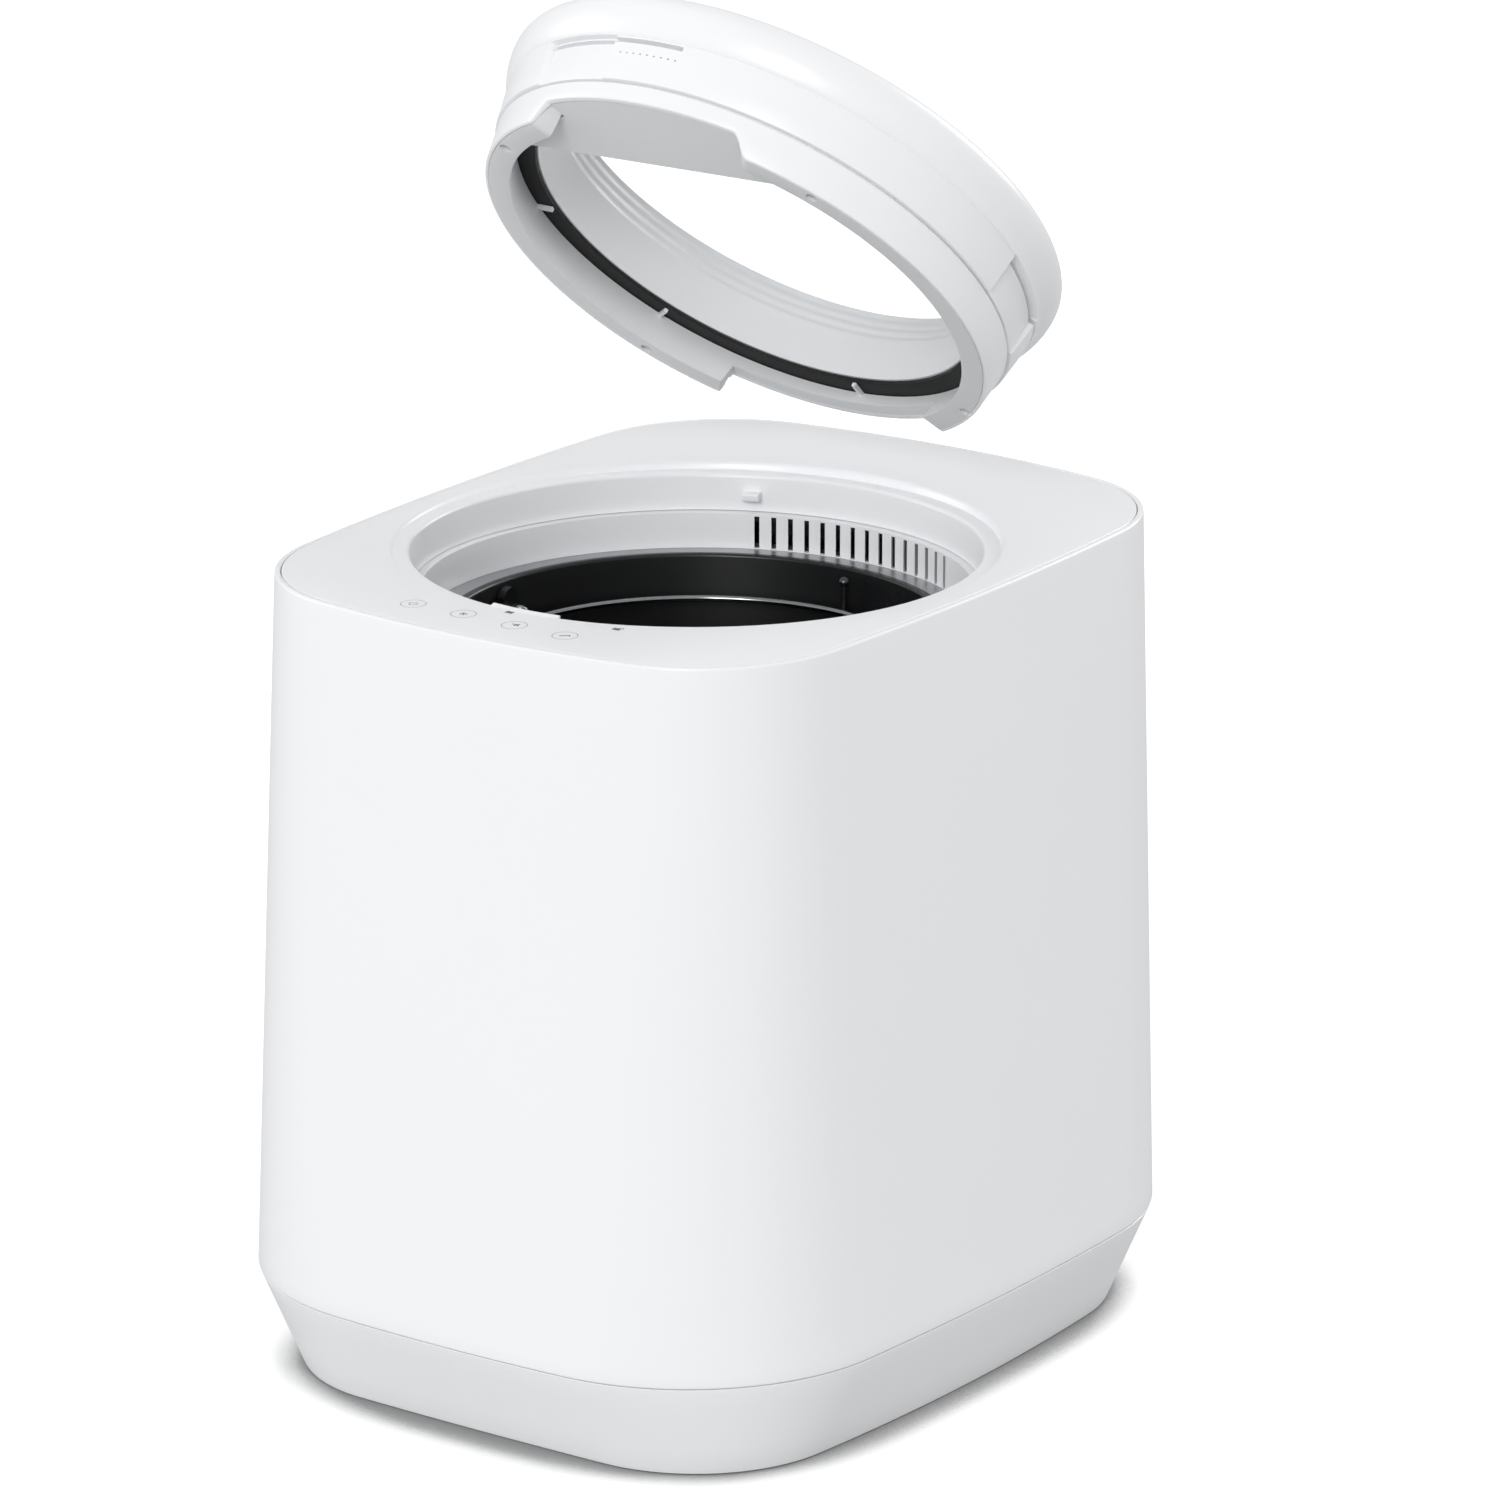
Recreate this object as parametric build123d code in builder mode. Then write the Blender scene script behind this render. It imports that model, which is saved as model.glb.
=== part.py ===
"""Electric food waste composter: housing, bucket, stirrer drive, air path and twist-lock lid.

Millimetres, Z up, front towards -Y, origin at the centre of the footprint on the table.
The lid is drawn held open above the mouth, tilted straight back.
"""
import os
from math import acos, cos, pi, radians, sin, sqrt, tan

from build123d import *

os.makedirs("parts", exist_ok=True)

# Main sizes. The body is deeper than wide by the room for fan and filter behind the bucket.
body_width = 288.6
rear_room = 64.0
side_room = 30.7
body_depth = body_width + rear_room
body_height = 330.0
seam_height = 42.3
wall = 2.6
deck_slope = 0.016
mouth_radius = body_width / 2 - side_room
mouth_y = -8.4
drive_space = 137.0
lid_tilt = 45.8
lid_rise = 118.4
lid_back = 25.4
gear_module = 2.0
gap = 0.3

# Body outlines: half width, half depth, corner radius, front bow radius, side bow radius
foot_size = (body_width / 2 - 17.2, body_depth / 2 - 21.7, 64.5, 2219.0, 1025.0)
seam_size = (body_width / 2, body_depth / 2, 91.0, 895.0, 1510.0)
top_size = (body_width / 2 - 11.3, body_depth / 2 - 12.1, 66.0, 460.0, 1364.0)
top_shift = 3.0

# Heights, from the table up
foot_height = 2.0
tray_floor = foot_height + 3.0
tray_top = seam_height - gap
gearbox_top = drive_space - 25.0
gearbox_low = gearbox_top - 52.0
cover_thick = 4.0
heater_low = drive_space - 6.0
pot_floor = drive_space + 2.7
bucket_low = pot_floor + gap
bucket_floor = bucket_low + 4.0
ledge_z = body_height - 32.0
bucket_top = ledge_z + 0.8
seat_z = body_height - 17.0
dish_z = body_height - 1.7
plate_top = ledge_z - 2.0
plate_low = plate_top - 4.0
duct_top = seat_z - 2.1

# Radii round the mouth axis
neck_low = mouth_radius - 1.1
neck_outer = mouth_radius + 2.4
dish_radius = mouth_radius + 7.0
liner_radius = mouth_radius - 4.5
pot_radius = mouth_radius - 12.4
pot_outer = pot_radius + 2.0
wrap_inner = pot_outer + gap
wrap_outer = mouth_radius - 0.8
bucket_rim = pot_radius - 0.6
bucket_radius = bucket_rim - 2.1
bucket_taper = 4.5
bucket_wall = 1.6

deck_thick = 2.6
deck_rim = 2.4
deck_gap = 0.35
ledge_width = 5.0
column_x = body_width / 2 - 32.0
column_y = 60.0
column_radius = 6.5


def shrink(size, by):
    return tuple(value - by for value in size)


def between(low, high, share):
    return tuple(a + (b - a) * share for a, b in zip(low, high))


def wall_size(z):
    """Outer outline of the upper body at a height."""
    return between(seam_size, top_size, (z - seam_height) / (body_height - seam_height))


def body_outline(size):
    """Four shallow arcs with rounded corners."""
    half_width, half_depth, corner, front_bow, side_bow = size
    x, y = half_width, half_depth
    for _ in range(20):
        x = half_width - side_bow + sqrt(side_bow**2 - y**2)
        y = half_depth - front_bow + sqrt(front_bow**2 - x**2)
    with BuildSketch() as outline:
        with BuildLine():
            ThreePointArc((-x, -y), (0, -half_depth), (x, -y))
            ThreePointArc((x, -y), (half_width, 0), (x, y))
            ThreePointArc((x, y), (0, half_depth), (-x, y))
            ThreePointArc((-x, y), (-half_width, 0), (-x, -y))
        make_face()
        fillet(outline.vertices(), corner)
    return outline.sketch


def sector(inner, outer, start, end):
    """Piece of a flat ring between two angles."""
    with BuildSketch() as piece:
        with BuildLine():
            CenterArc((0, 0), outer, start, end - start)
            CenterArc((0, 0), inner, start, end - start)
            for angle in (radians(start), radians(end)):
                Line((inner * cos(angle), inner * sin(angle)), (outer * cos(angle), outer * sin(angle)))
        make_face()
    return piece.sketch


def ring_section(*points):
    """Closed section of a turned part, as radius and height pairs."""
    with BuildSketch() as section_face:
        with BuildLine():
            Polyline(*points, close=True)
        make_face()
    return section_face.sketch


def level(z):
    """Horizontal plane centred on the mouth axis."""
    return Plane(origin=(0, mouth_y, z))


top_plane = Plane(
    origin=(0, top_shift, body_height + deck_slope * top_shift),
    x_dir=(1, 0, 0),
    z_dir=(0, -deck_slope, 1),
)
mouth_axis = Axis((0, mouth_y, 0), (0, 0, 1))
mouth_section = Plane(origin=(0, mouth_y, 0), x_dir=(1, 0, 0), z_dir=(0, -1, 0))


def rear_face(z):
    """Outer face of the rear wall on the centre line."""
    share = (z - seam_height) / (body_height - seam_height)
    return wall_size(z)[1] + top_shift * share


columns = [(x, y) for x in (-column_x, column_x) for y in (-column_y, column_y)]

# Base tray: bevelled pan with screw bosses and posts for the gearbox and the board
screw_head = 4.2
screw_radius = 2.0
boss_top = 20.0
gearbox_posts = [(-35, -38), (35, -38), (-30, 62), (30, 62)]
board_y = -body_depth / 2 + 73.3
board_posts = [(x, board_y + y) for x in (-50, 50) for y in (-29, 29)]
board_low = 14.0
tray_share = (tray_floor - foot_height) / (tray_top - foot_height)
tray_rim = shrink(seam_size, gap)
floor_size = between(foot_size, tray_rim, tray_share)

with BuildPart() as base_tray:
    with BuildSketch(Plane.XY.offset(foot_height)):
        add(body_outline(foot_size))
    with BuildSketch(Plane.XY.offset(tray_top)):
        add(body_outline(tray_rim))
    loft(ruled=True)
    with BuildSketch(Plane.XY.offset(tray_floor)):
        add(body_outline(shrink(floor_size, wall)))
    with BuildSketch(Plane.XY.offset(tray_top)):
        add(body_outline(shrink(tray_rim, wall)))
    loft(ruled=True, mode=Mode.SUBTRACT)
    with BuildSketch(Plane.XY.offset(tray_floor - 0.5)):
        with Locations(*columns):
            Circle(column_radius + 1.5)
    extrude(amount=boss_top - gap - tray_floor + 0.5)
    with BuildSketch(Plane.XY.offset(tray_floor - 0.5)):
        with Locations(*gearbox_posts):
            Circle(5.0)
    extrude(amount=gearbox_low - tray_floor + 0.5)
    with BuildSketch(Plane.XY.offset(tray_floor - 0.5)):
        with Locations(*board_posts):
            Circle(3.0)
    extrude(amount=board_low - tray_floor + 0.5)
    with BuildSketch(Plane.XY.offset(foot_height)):
        with Locations(*columns):
            Circle(screw_head + 0.3)
    extrude(amount=screw_head, mode=Mode.SUBTRACT)
    with BuildSketch(Plane.XY.offset(foot_height)):
        with Locations(*columns):
            Circle(screw_radius + gap)
    extrude(amount=boss_top, mode=Mode.SUBTRACT)

# Rubber feet under the tray
foot_x = foot_size[0] - 57.1
foot_y = foot_size[1] - 49.6

with BuildPart() as feet:
    with Locations(*[(x, y) for x in (-foot_x, foot_x) for y in (-foot_y, foot_y)]):
        Cylinder(11.0, foot_height, align=(Align.CENTER, Align.CENTER, Align.MIN))

# Screws that pull the upper shell down on the tray
with BuildPart() as base_screws:
    with BuildSketch(Plane.XY.offset(foot_height + 1.0)):
        with Locations(*columns):
            Circle(screw_head)
    extrude(amount=screw_head - 1.0 - gap)
    with BuildSketch(Plane.XY.offset(foot_height + 1.5)):
        with Locations(*columns):
            Circle(screw_radius)
    extrude(amount=boss_top + 8.0)

# Space behind the bucket: filter bay, fan and duct lie between the wrap and the rear wall
filter_low = gearbox_top + 4.0
filter_high = filter_low + 72.0
bay_wall = 2.0
bay_top = filter_high + bay_wall + gap
fan_half = 25.0
fan_height = 15.0
rear_inner = rear_face(bay_top + fan_height) - wall
fan_y = (mouth_y + wrap_outer + rear_inner) / 2
filter_half = 42.0
filter_front = fan_y - 22.0
filter_rear = fan_y + fan_half + 0.4
cover_half = 48.0
cover_low = filter_low - 4.0
cover_high = filter_high + 4.0
inlet_x = 40.0
inlet_z = 66.0
inlet_half_width = 14.0
inlet_half_height = 10.0

# Upper shell: tapered wall, open below, with a ledge for the deck and columns for the screws
web_low = seam_height + 6.0
deck_drop = deck_thick + gap

with BuildPart() as outer_shell:
    with BuildSketch(Plane.XY.offset(seam_height)):
        add(body_outline(seam_size))
    with BuildSketch(top_plane):
        add(body_outline(top_size))
    loft(ruled=True)
    with BuildSketch(Plane.XY.offset(seam_height)):
        add(body_outline(shrink(seam_size, wall)))
    with BuildSketch(top_plane.offset(-deck_drop - wall)):
        add(body_outline(shrink(top_size, wall)))
    loft(ruled=True, mode=Mode.SUBTRACT)
    with BuildSketch(top_plane.offset(-deck_drop - wall)):
        add(body_outline(shrink(top_size, wall + ledge_width)))
    extrude(amount=deck_drop + wall, mode=Mode.SUBTRACT)
    with BuildSketch(top_plane.offset(-deck_drop)):
        add(body_outline(shrink(top_size, deck_rim)))
    extrude(amount=deck_drop + wall, mode=Mode.SUBTRACT)
    for side in (-1, 1):
        for y in (-column_y, column_y):
            bow = y**2 / (2 * seam_size[4]) + wall / 2
            with BuildSketch(Plane(origin=(0, y, 0), x_dir=(side, 0, 0), z_dir=(0, -side, 0))):
                with BuildLine():
                    Polyline(
                        (column_x, web_low),
                        (wall_size(web_low)[0] - bow, web_low),
                        (wall_size(plate_low)[0] - bow, plate_low),
                        (column_x, plate_low),
                        close=True,
                    )
                make_face()
            extrude(amount=1.5, both=True)
    with BuildSketch(Plane.XY.offset(boss_top)):
        with Locations(*columns):
            Circle(column_radius)
    extrude(amount=plate_low - boss_top)
    with BuildSketch(Plane.XY.offset(boss_top)):
        with Locations(*columns):
            Circle(screw_radius + gap)
    extrude(amount=14.0, mode=Mode.SUBTRACT)
    with BuildSketch(Plane.XZ.offset(-filter_rear)):
        with Locations((0, (cover_low + cover_high) / 2)):
            Rectangle(2 * (cover_half + 0.4), cover_high - cover_low + 0.8)
        with Locations((inlet_x, inlet_z)):
            Rectangle(2 * (inlet_half_width + 0.4), 2 * (inlet_half_height + 0.4))
    extrude(amount=-body_depth / 4, mode=Mode.SUBTRACT)

# Deck: sloping top plate with a level dish round the mouth and a short neck
pad_start = -102.0
pad_end = -84.0
catch_start = 108.0
catch_end = 116.0
catch_low = seat_z + 5.3
catch_high = catch_low + 3.0

with BuildPart() as deck:
    with BuildSketch(level(dish_z - 7.0)):
        Circle(dish_radius + 3.4)
    extrude(amount=12.0)
    split(bisect_by=top_plane, keep=Keep.BOTTOM)
    with BuildSketch(top_plane):
        add(body_outline(shrink(top_size, deck_rim + deck_gap)))
    extrude(amount=-deck_thick)
    with BuildSketch(level(seat_z + gap)):
        Circle(neck_outer)
    extrude(amount=dish_z - 1.0 - seat_z - gap)
    with BuildSketch(level(dish_z)):
        Circle(dish_radius)
    extrude(amount=10.0, mode=Mode.SUBTRACT)
    with BuildSketch(level(dish_z - 0.5)):
        add(sector(mouth_radius - 0.2, mouth_radius + 3.4, pad_start, pad_end))
    extrude(amount=1.7)
    with BuildSketch(mouth_section):
        add(ring_section((0, seat_z), (neck_low, seat_z), (mouth_radius, dish_z + 2), (0, dish_z + 2)))
    revolve(axis=mouth_axis, mode=Mode.SUBTRACT)
    with BuildSketch(level(catch_low - gap)):
        add(sector(neck_low - 2.0, neck_outer + 2.0, catch_start + 1.0, catch_end - 1.0))
    extrude(amount=catch_high - catch_low + 2 * gap, mode=Mode.SUBTRACT)

# Lid catch: plastic tongue through the neck, under which the turned lid locks
with BuildPart() as lid_catch:
    with BuildSketch(level(catch_low)):
        add(sector(neck_low - 4.8, neck_low - 0.2, catch_start, catch_end))
        add(sector(neck_low - 0.5, neck_outer + 1.5, catch_start + 1.3, catch_end - 1.3))
    extrude(amount=catch_high - catch_low)

# Chamber liner: slotted ring between the deck neck and the pot flange
slot_count = 17
slot_pitch = 3.78
slot_width = 3.6
slot_low = ledge_z + 1.8
slot_high = seat_z - 1.4

with BuildPart() as chamber_liner:
    with BuildSketch(mouth_section):
        add(
            ring_section(
                (liner_radius, ledge_z),
                (liner_radius + 2.0, ledge_z),
                (liner_radius + 2.0, seat_z - 1.8),
                (liner_radius + 9.5, seat_z - 1.8),
                (liner_radius + 9.5, seat_z),
                (liner_radius, seat_z),
            )
        )
    revolve(axis=mouth_axis)
    with BuildSketch(level(slot_low)):
        with PolarLocations(
            liner_radius + 1.0,
            slot_count,
            start_angle=90 - slot_pitch * (slot_count - 1) / 2,
            angular_range=slot_pitch * (slot_count - 1),
            endpoint=True,
        ):
            Rectangle(5.0, slot_width)
    extrude(amount=slot_high - slot_low, mode=Mode.SUBTRACT)

# Heating pot with a flat top flange, its heater plate and its insulating wrap
shaft_radius = 6.0

with BuildPart() as heating_pot:
    with BuildSketch(mouth_section):
        add(
            ring_section(
                (shaft_radius + 3.0, drive_space),
                (pot_outer, drive_space),
                (pot_outer, plate_top),
                (liner_radius + 8.9, plate_top),
                (liner_radius + 8.9, ledge_z),
                (pot_radius, ledge_z),
                (pot_radius, pot_floor),
                (shaft_radius + 3.0, pot_floor),
            )
        )
    revolve(axis=mouth_axis)

with BuildPart() as heater_plate:
    with BuildSketch(level(heater_low)):
        Circle(pot_outer - 10.0)
        Circle(shaft_radius + 6.0, mode=Mode.SUBTRACT)
    extrude(amount=drive_space - heater_low)

with BuildPart() as insulation:
    with BuildSketch(level(heater_low)):
        Circle(wrap_outer)
        Circle(wrap_inner, mode=Mode.SUBTRACT)
    extrude(amount=plate_low - gap - heater_low)

# Carrier plate across the shell that holds the pot by its flange
with BuildPart() as carrier_plate:
    with BuildSketch(Plane((0, top_shift * 0.87, plate_low))):
        add(body_outline(shrink(wall_size(plate_top), wall + 1.1)))
    extrude(amount=plate_top - plate_low)
    with BuildSketch(level(plate_low)):
        Circle(pot_outer + gap)
    extrude(amount=plate_top - plate_low, mode=Mode.SUBTRACT)
    with BuildSketch(Plane((0, fan_y, plate_low))):
        Rectangle(2 * fan_half - 4.0, 2 * fan_half - 12.0)
    extrude(amount=plate_top - plate_low, mode=Mode.SUBTRACT)

# Bucket: tapered, with a rolled rim, a foot ring and a hub for the stirrer
hub_radius = 14.0
hub_top = bucket_floor + 14.0
bush_outer = 10.0
stir_shaft = 8.0
bucket_base = bucket_radius - bucket_taper

with BuildPart() as bucket:
    with BuildSketch(mouth_section):
        add(
            ring_section(
                (bush_outer + 0.05, bucket_low + 2.0),
                (bucket_base - 7.0, bucket_low + 2.0),
                (bucket_base - 7.0, bucket_low),
                (bucket_base - 3.0, bucket_low),
                (bucket_base, bucket_low + 3.0),
                (bucket_radius, bucket_top - 2.0),
                (bucket_rim, bucket_top - 2.0),
                (bucket_rim, bucket_top),
                (bucket_radius - bucket_wall, bucket_top),
                (bucket_base - bucket_wall, bucket_floor),
                (hub_radius, bucket_floor),
                (hub_radius, hub_top),
                (bush_outer + 0.05, hub_top),
            )
        )
    revolve(axis=mouth_axis)

with BuildPart() as bucket_bushing:
    with BuildSketch(level(bucket_low + 2.0)):
        Circle(bush_outer)
        Circle(stir_shaft + 0.06, mode=Mode.SUBTRACT)
    extrude(amount=hub_top - bucket_low - 2.0)

# Bail handle: two ears inside the rim and a wire bow that lies just below them
wire = 1.25
bow_radius = bucket_radius - 14.0
pivot_z = bucket_top - 10.3
bow_drop = 2.5
ear_outer = bucket_radius - bucket_wall - 0.6
ear_inner = ear_outer - 3.6
bow_down = Vector(0, cos(radians(bow_drop)), -sin(radians(bow_drop)))
bow_up = Vector(0, sin(radians(bow_drop)), cos(radians(bow_drop)))

with BuildPart() as bucket_ears:
    with BuildSketch(Plane(origin=(ear_inner, mouth_y, pivot_z), x_dir=(0, 1, 0), z_dir=(1, 0, 0))):
        with Locations((0, 1.0)):
            SlotCenterToCenter(5.0, 9.0, rotation=90)
        Circle(wire + 0.1, mode=Mode.SUBTRACT)
    extrude(amount=ear_outer - ear_inner)
    mirror(about=Plane.YZ)

with BuildPart() as bucket_handle:
    with BuildSketch(Plane(origin=(bow_radius, mouth_y, pivot_z), x_dir=(1, 0, 0), z_dir=bow_down)):
        Circle(wire)
    revolve(axis=Axis((0, mouth_y, pivot_z), bow_up), revolution_arc=180)
    for side in (-1, 1):
        with BuildSketch(Plane(origin=(side * bow_radius, mouth_y, pivot_z), z_dir=(side, 0, 0))):
            Circle(wire)
        extrude(amount=ear_outer - 0.4 - bow_radius)
        with Locations((side * bow_radius, mouth_y, pivot_z)):
            Sphere(wire)

# Crushing post: rod with a round head that stands by the rear wall of the bucket
post_radius = 1.4
post_angle = 85.0
post_spot = bucket_base - bucket_wall - post_radius - 0.6
post_head = 2.1

with BuildPart() as crushing_post:
    with BuildSketch(level(bucket_floor)):
        with PolarLocations(post_spot, 1, start_angle=post_angle):
            Circle(post_radius)
    extrude(amount=bucket_top - 4.0 - bucket_floor)
    with Locations(level(bucket_top - 4.0)):
        with PolarLocations(post_spot, 1, start_angle=post_angle):
            Sphere(post_head)

# Stirrer: hub cap over the bucket hub, two arms with upright blades, hex socket below
cap_inner = hub_radius + 0.6
cap_outer = cap_inner + 3.4
cap_top = hub_top + 8.0
arm_low = bucket_floor + 2.0
arm_reach = post_spot - post_radius - 5.0
hex_radius = 5.2
hex_top = bucket_low + 12.0

with BuildPart() as stirrer:
    with BuildSketch(mouth_section):
        add(
            ring_section(
                (0, bucket_low + 1.5),
                (stir_shaft, bucket_low + 1.5),
                (stir_shaft, hub_top + gap),
                (cap_inner, hub_top + gap),
                (cap_inner, arm_low),
                (cap_outer, arm_low),
                (cap_outer, cap_top - 4.0),
                (cap_outer - 6.0, cap_top),
                (0, cap_top),
            )
        )
    revolve(axis=mouth_axis)
    for turn, low, tall in ((0, arm_low, 44.0), (180, arm_low + 10.0, 62.0)):
        with BuildSketch(level(low)):
            with PolarLocations((cap_outer + arm_reach) / 2 - 1.0, 1, start_angle=turn):
                Rectangle(arm_reach - cap_outer + 2.0, 12.0)
        extrude(amount=6.0)
        with BuildSketch(level(low)):
            with PolarLocations(arm_reach - 6.0, 1, start_angle=turn):
                Rectangle(10.0, 7.0, rotation=25)
        extrude(amount=tall)
    with BuildSketch(level(bucket_low + 1.5)):
        RegularPolygon(hex_radius + 0.35, 6)
    extrude(amount=hex_top - bucket_low - 1.5, mode=Mode.SUBTRACT)

# Output shaft with its hex tip
with BuildPart() as drive_shaft:
    with BuildSketch(level(gearbox_low + 3.0 + gap)):
        Circle(shaft_radius)
    extrude(amount=bucket_low + 1.0 - gearbox_low - 3.0 - gap)

with BuildPart() as drive_dog:
    with BuildSketch(level(bucket_low + 1.0)):
        RegularPolygon(hex_radius, 6)
    extrude(amount=hex_top - bucket_low - 2.0)

# Spur gears: stub teeth on a 25 degree pressure angle, tooth flanks set on the involute
pressure = radians(25)
output_teeth = 50
idler_pinion_teeth = 14
idler_teeth = 40
motor_teeth = 14
addendum = 0.8 * gear_module
dedendum = 1.1 * gear_module
backlash = 0.3
idler_y = mouth_y + gear_module * (output_teeth + idler_pinion_teeth) / 2
motor_y = idler_y + gear_module * (idler_teeth + motor_teeth) / 2


def gear_outline(teeth, first_tooth):
    """Toothed wheel with one tooth centred on the given angle."""
    pitch = gear_module * teeth / 2
    base = pitch * cos(pressure)
    root = pitch - dedendum
    tip = pitch + addendum
    spread = pi / (2 * teeth) - backlash / (2 * pitch) + tan(pressure) - pressure

    def flank(radius):
        angle = acos(min(1.0, base / radius))
        half = spread - (tan(angle) - angle)
        return radius * cos(half), radius * sin(half)

    low = max(base, root)
    upper = [flank(radius) for radius in (low, pitch, tip)]
    stem = (root - 0.6) / low
    upper.insert(0, (upper[0][0] * stem, upper[0][1] * stem))
    lower = [(x, -y) for x, y in reversed(upper)]
    with BuildSketch() as wheel:
        Circle(root)
        with BuildSketch(mode=Mode.PRIVATE) as tooth:
            with BuildLine():
                Polyline(*upper, *lower, close=True)
            make_face()
        with PolarLocations(0, teeth, start_angle=first_tooth):
            add(tooth.sketch)
    return wheel.sketch


wheel_thick = 8.0
idler_wheel_low = gearbox_low + 10.0
output_gear_low = idler_wheel_low + 18.0
axle_radius = 5.0
motor_shaft_radius = 4.0
fit = 0.05

with BuildPart() as output_gear:
    with BuildSketch(level(output_gear_low)):
        add(gear_outline(output_teeth, 90))
    extrude(amount=wheel_thick)
    with BuildSketch(level(output_gear_low - 3.0)):
        Circle(shaft_radius + 8.0)
    extrude(amount=wheel_thick + 6.0)
    with BuildSketch(level(output_gear_low)):
        with PolarLocations(gear_module * output_teeth / 4 + 6.0, 5):
            Circle(gear_module * output_teeth / 10)
    extrude(amount=wheel_thick, mode=Mode.SUBTRACT)
    with BuildSketch(level(output_gear_low - 3.0)):
        Circle(shaft_radius + fit)
    extrude(amount=wheel_thick + 6.0, mode=Mode.SUBTRACT)

with BuildPart() as idler_gear:
    with BuildSketch(Plane((0, idler_y, idler_wheel_low))):
        add(gear_outline(idler_teeth, 90))
    extrude(amount=wheel_thick)
    with BuildSketch(Plane((0, idler_y, idler_wheel_low + wheel_thick))):
        add(gear_outline(idler_pinion_teeth, 270 + 180 / idler_pinion_teeth))
    extrude(amount=wheel_thick + 14.0)
    with BuildSketch(Plane((0, idler_y, idler_wheel_low))):
        Circle(axle_radius + fit)
    extrude(amount=2 * wheel_thick + 14.0, mode=Mode.SUBTRACT)

with BuildPart() as idler_axle:
    with BuildSketch(Plane((0, idler_y, gearbox_low + 3.0))):
        Circle(axle_radius)
    extrude(amount=gearbox_top - cover_thick - gearbox_low - 3.0)

with BuildPart() as motor_pinion:
    with BuildSketch(Plane((0, motor_y, idler_wheel_low - 1.0))):
        add(gear_outline(motor_teeth, 270 + 180 / motor_teeth))
        Circle(motor_shaft_radius + fit, mode=Mode.SUBTRACT)
    extrude(amount=wheel_thick + 2.0)

with BuildPart() as motor_shaft:
    with BuildSketch(Plane((0, motor_y, gearbox_low + gap))):
        Circle(motor_shaft_radius)
    extrude(amount=idler_wheel_low + wheel_thick + 6.0 - gearbox_low - gap)

# Gearbox: pan and cover round the three wheels, bearing for the output shaft
case_wall = 3.0
output_space = gear_module * output_teeth / 2 + addendum + 2.4
idler_space = gear_module * idler_teeth / 2 + addendum + 2.4
motor_space = gear_module * motor_teeth / 2 + addendum + 2.4
bearing_outer = 11.0


def gearbox_plan(grow):
    with BuildSketch() as plan:
        for y, radius in ((mouth_y, output_space), (idler_y, idler_space), (motor_y, motor_space)):
            with Locations((0, y)):
                Circle(radius + grow)
        make_hull()
    return plan.sketch


with BuildPart() as gearbox_housing:
    with BuildSketch(Plane.XY.offset(gearbox_low)):
        add(gearbox_plan(case_wall))
    extrude(amount=gearbox_top - cover_thick - gearbox_low)
    with BuildSketch(Plane.XY.offset(gearbox_low + case_wall)):
        add(gearbox_plan(0))
    extrude(amount=gearbox_top - cover_thick - gearbox_low - case_wall, mode=Mode.SUBTRACT)
    with BuildSketch(Plane((0, motor_y, gearbox_low))):
        Circle(motor_shaft_radius + 3.0)
    extrude(amount=case_wall, mode=Mode.SUBTRACT)

with BuildPart() as gearbox_cover:
    with BuildSketch(Plane.XY.offset(gearbox_top - cover_thick)):
        add(gearbox_plan(case_wall))
        with Locations((0, mouth_y)):
            Circle(bearing_outer + fit, mode=Mode.SUBTRACT)
    extrude(amount=cover_thick)

with BuildPart() as shaft_bearing:
    with BuildSketch(level(gearbox_top - cover_thick)):
        Circle(bearing_outer)
        Circle(shaft_radius + fit, mode=Mode.SUBTRACT)
    extrude(amount=cover_thick)

with BuildPart() as motor_can:
    with BuildSketch(Plane((0, motor_y, tray_floor + 5.0))):
        Circle(26.0)
    extrude(amount=gearbox_low - tray_floor - 5.0)
    chamfer(motor_can.edges().group_by(Axis.Z)[0], 2.0)

# Filter drawer: bay fixed in the body, cassette with carbon core carried by the rear cover
with BuildPart() as filter_bay:
    bay_half = filter_half + 0.6 + bay_wall
    with BuildSketch(Plane.XZ.offset(-filter_front + 0.6 + bay_wall)):
        with Locations((0, (filter_low - gap - bay_wall + bay_top) / 2)):
            Rectangle(2 * bay_half, bay_top - filter_low + gap + bay_wall)
    extrude(amount=-(filter_rear - 1.0 - filter_front + 0.6 + bay_wall))
    with BuildSketch(Plane.XZ.offset(-filter_front + 0.6)):
        with Locations((0, (filter_low + filter_high) / 2)):
            Rectangle(2 * bay_half - 2 * bay_wall, filter_high - filter_low + 2 * gap)
    extrude(amount=-(filter_rear - filter_front + 2.0), mode=Mode.SUBTRACT)
    with BuildSketch(Plane((0, fan_y, filter_high))):
        Circle(fan_half - 4.0)
    extrude(amount=10.0, mode=Mode.SUBTRACT)

with BuildPart() as filter_cassette:
    with Locations((0, (filter_front + filter_rear) / 2, (filter_low + filter_high) / 2)):
        Box(2 * filter_half, filter_rear - filter_front, filter_high - filter_low)
        Box(2 * filter_half - 4, filter_rear - filter_front - 4, filter_high - filter_low, mode=Mode.SUBTRACT)
        with Locations((0, 0, (filter_low - filter_high) / 2 + 1)):
            Box(2 * filter_half, filter_rear - filter_front, 2)
    with BuildSketch(Plane.XZ.offset(-filter_rear)):
        with Locations((0, (filter_low + filter_high) / 2)):
            with GridLocations(0, 9.0, 1, 6):
                Rectangle(64.0, 4.6)
    extrude(amount=4.0, both=True, mode=Mode.SUBTRACT)

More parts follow.
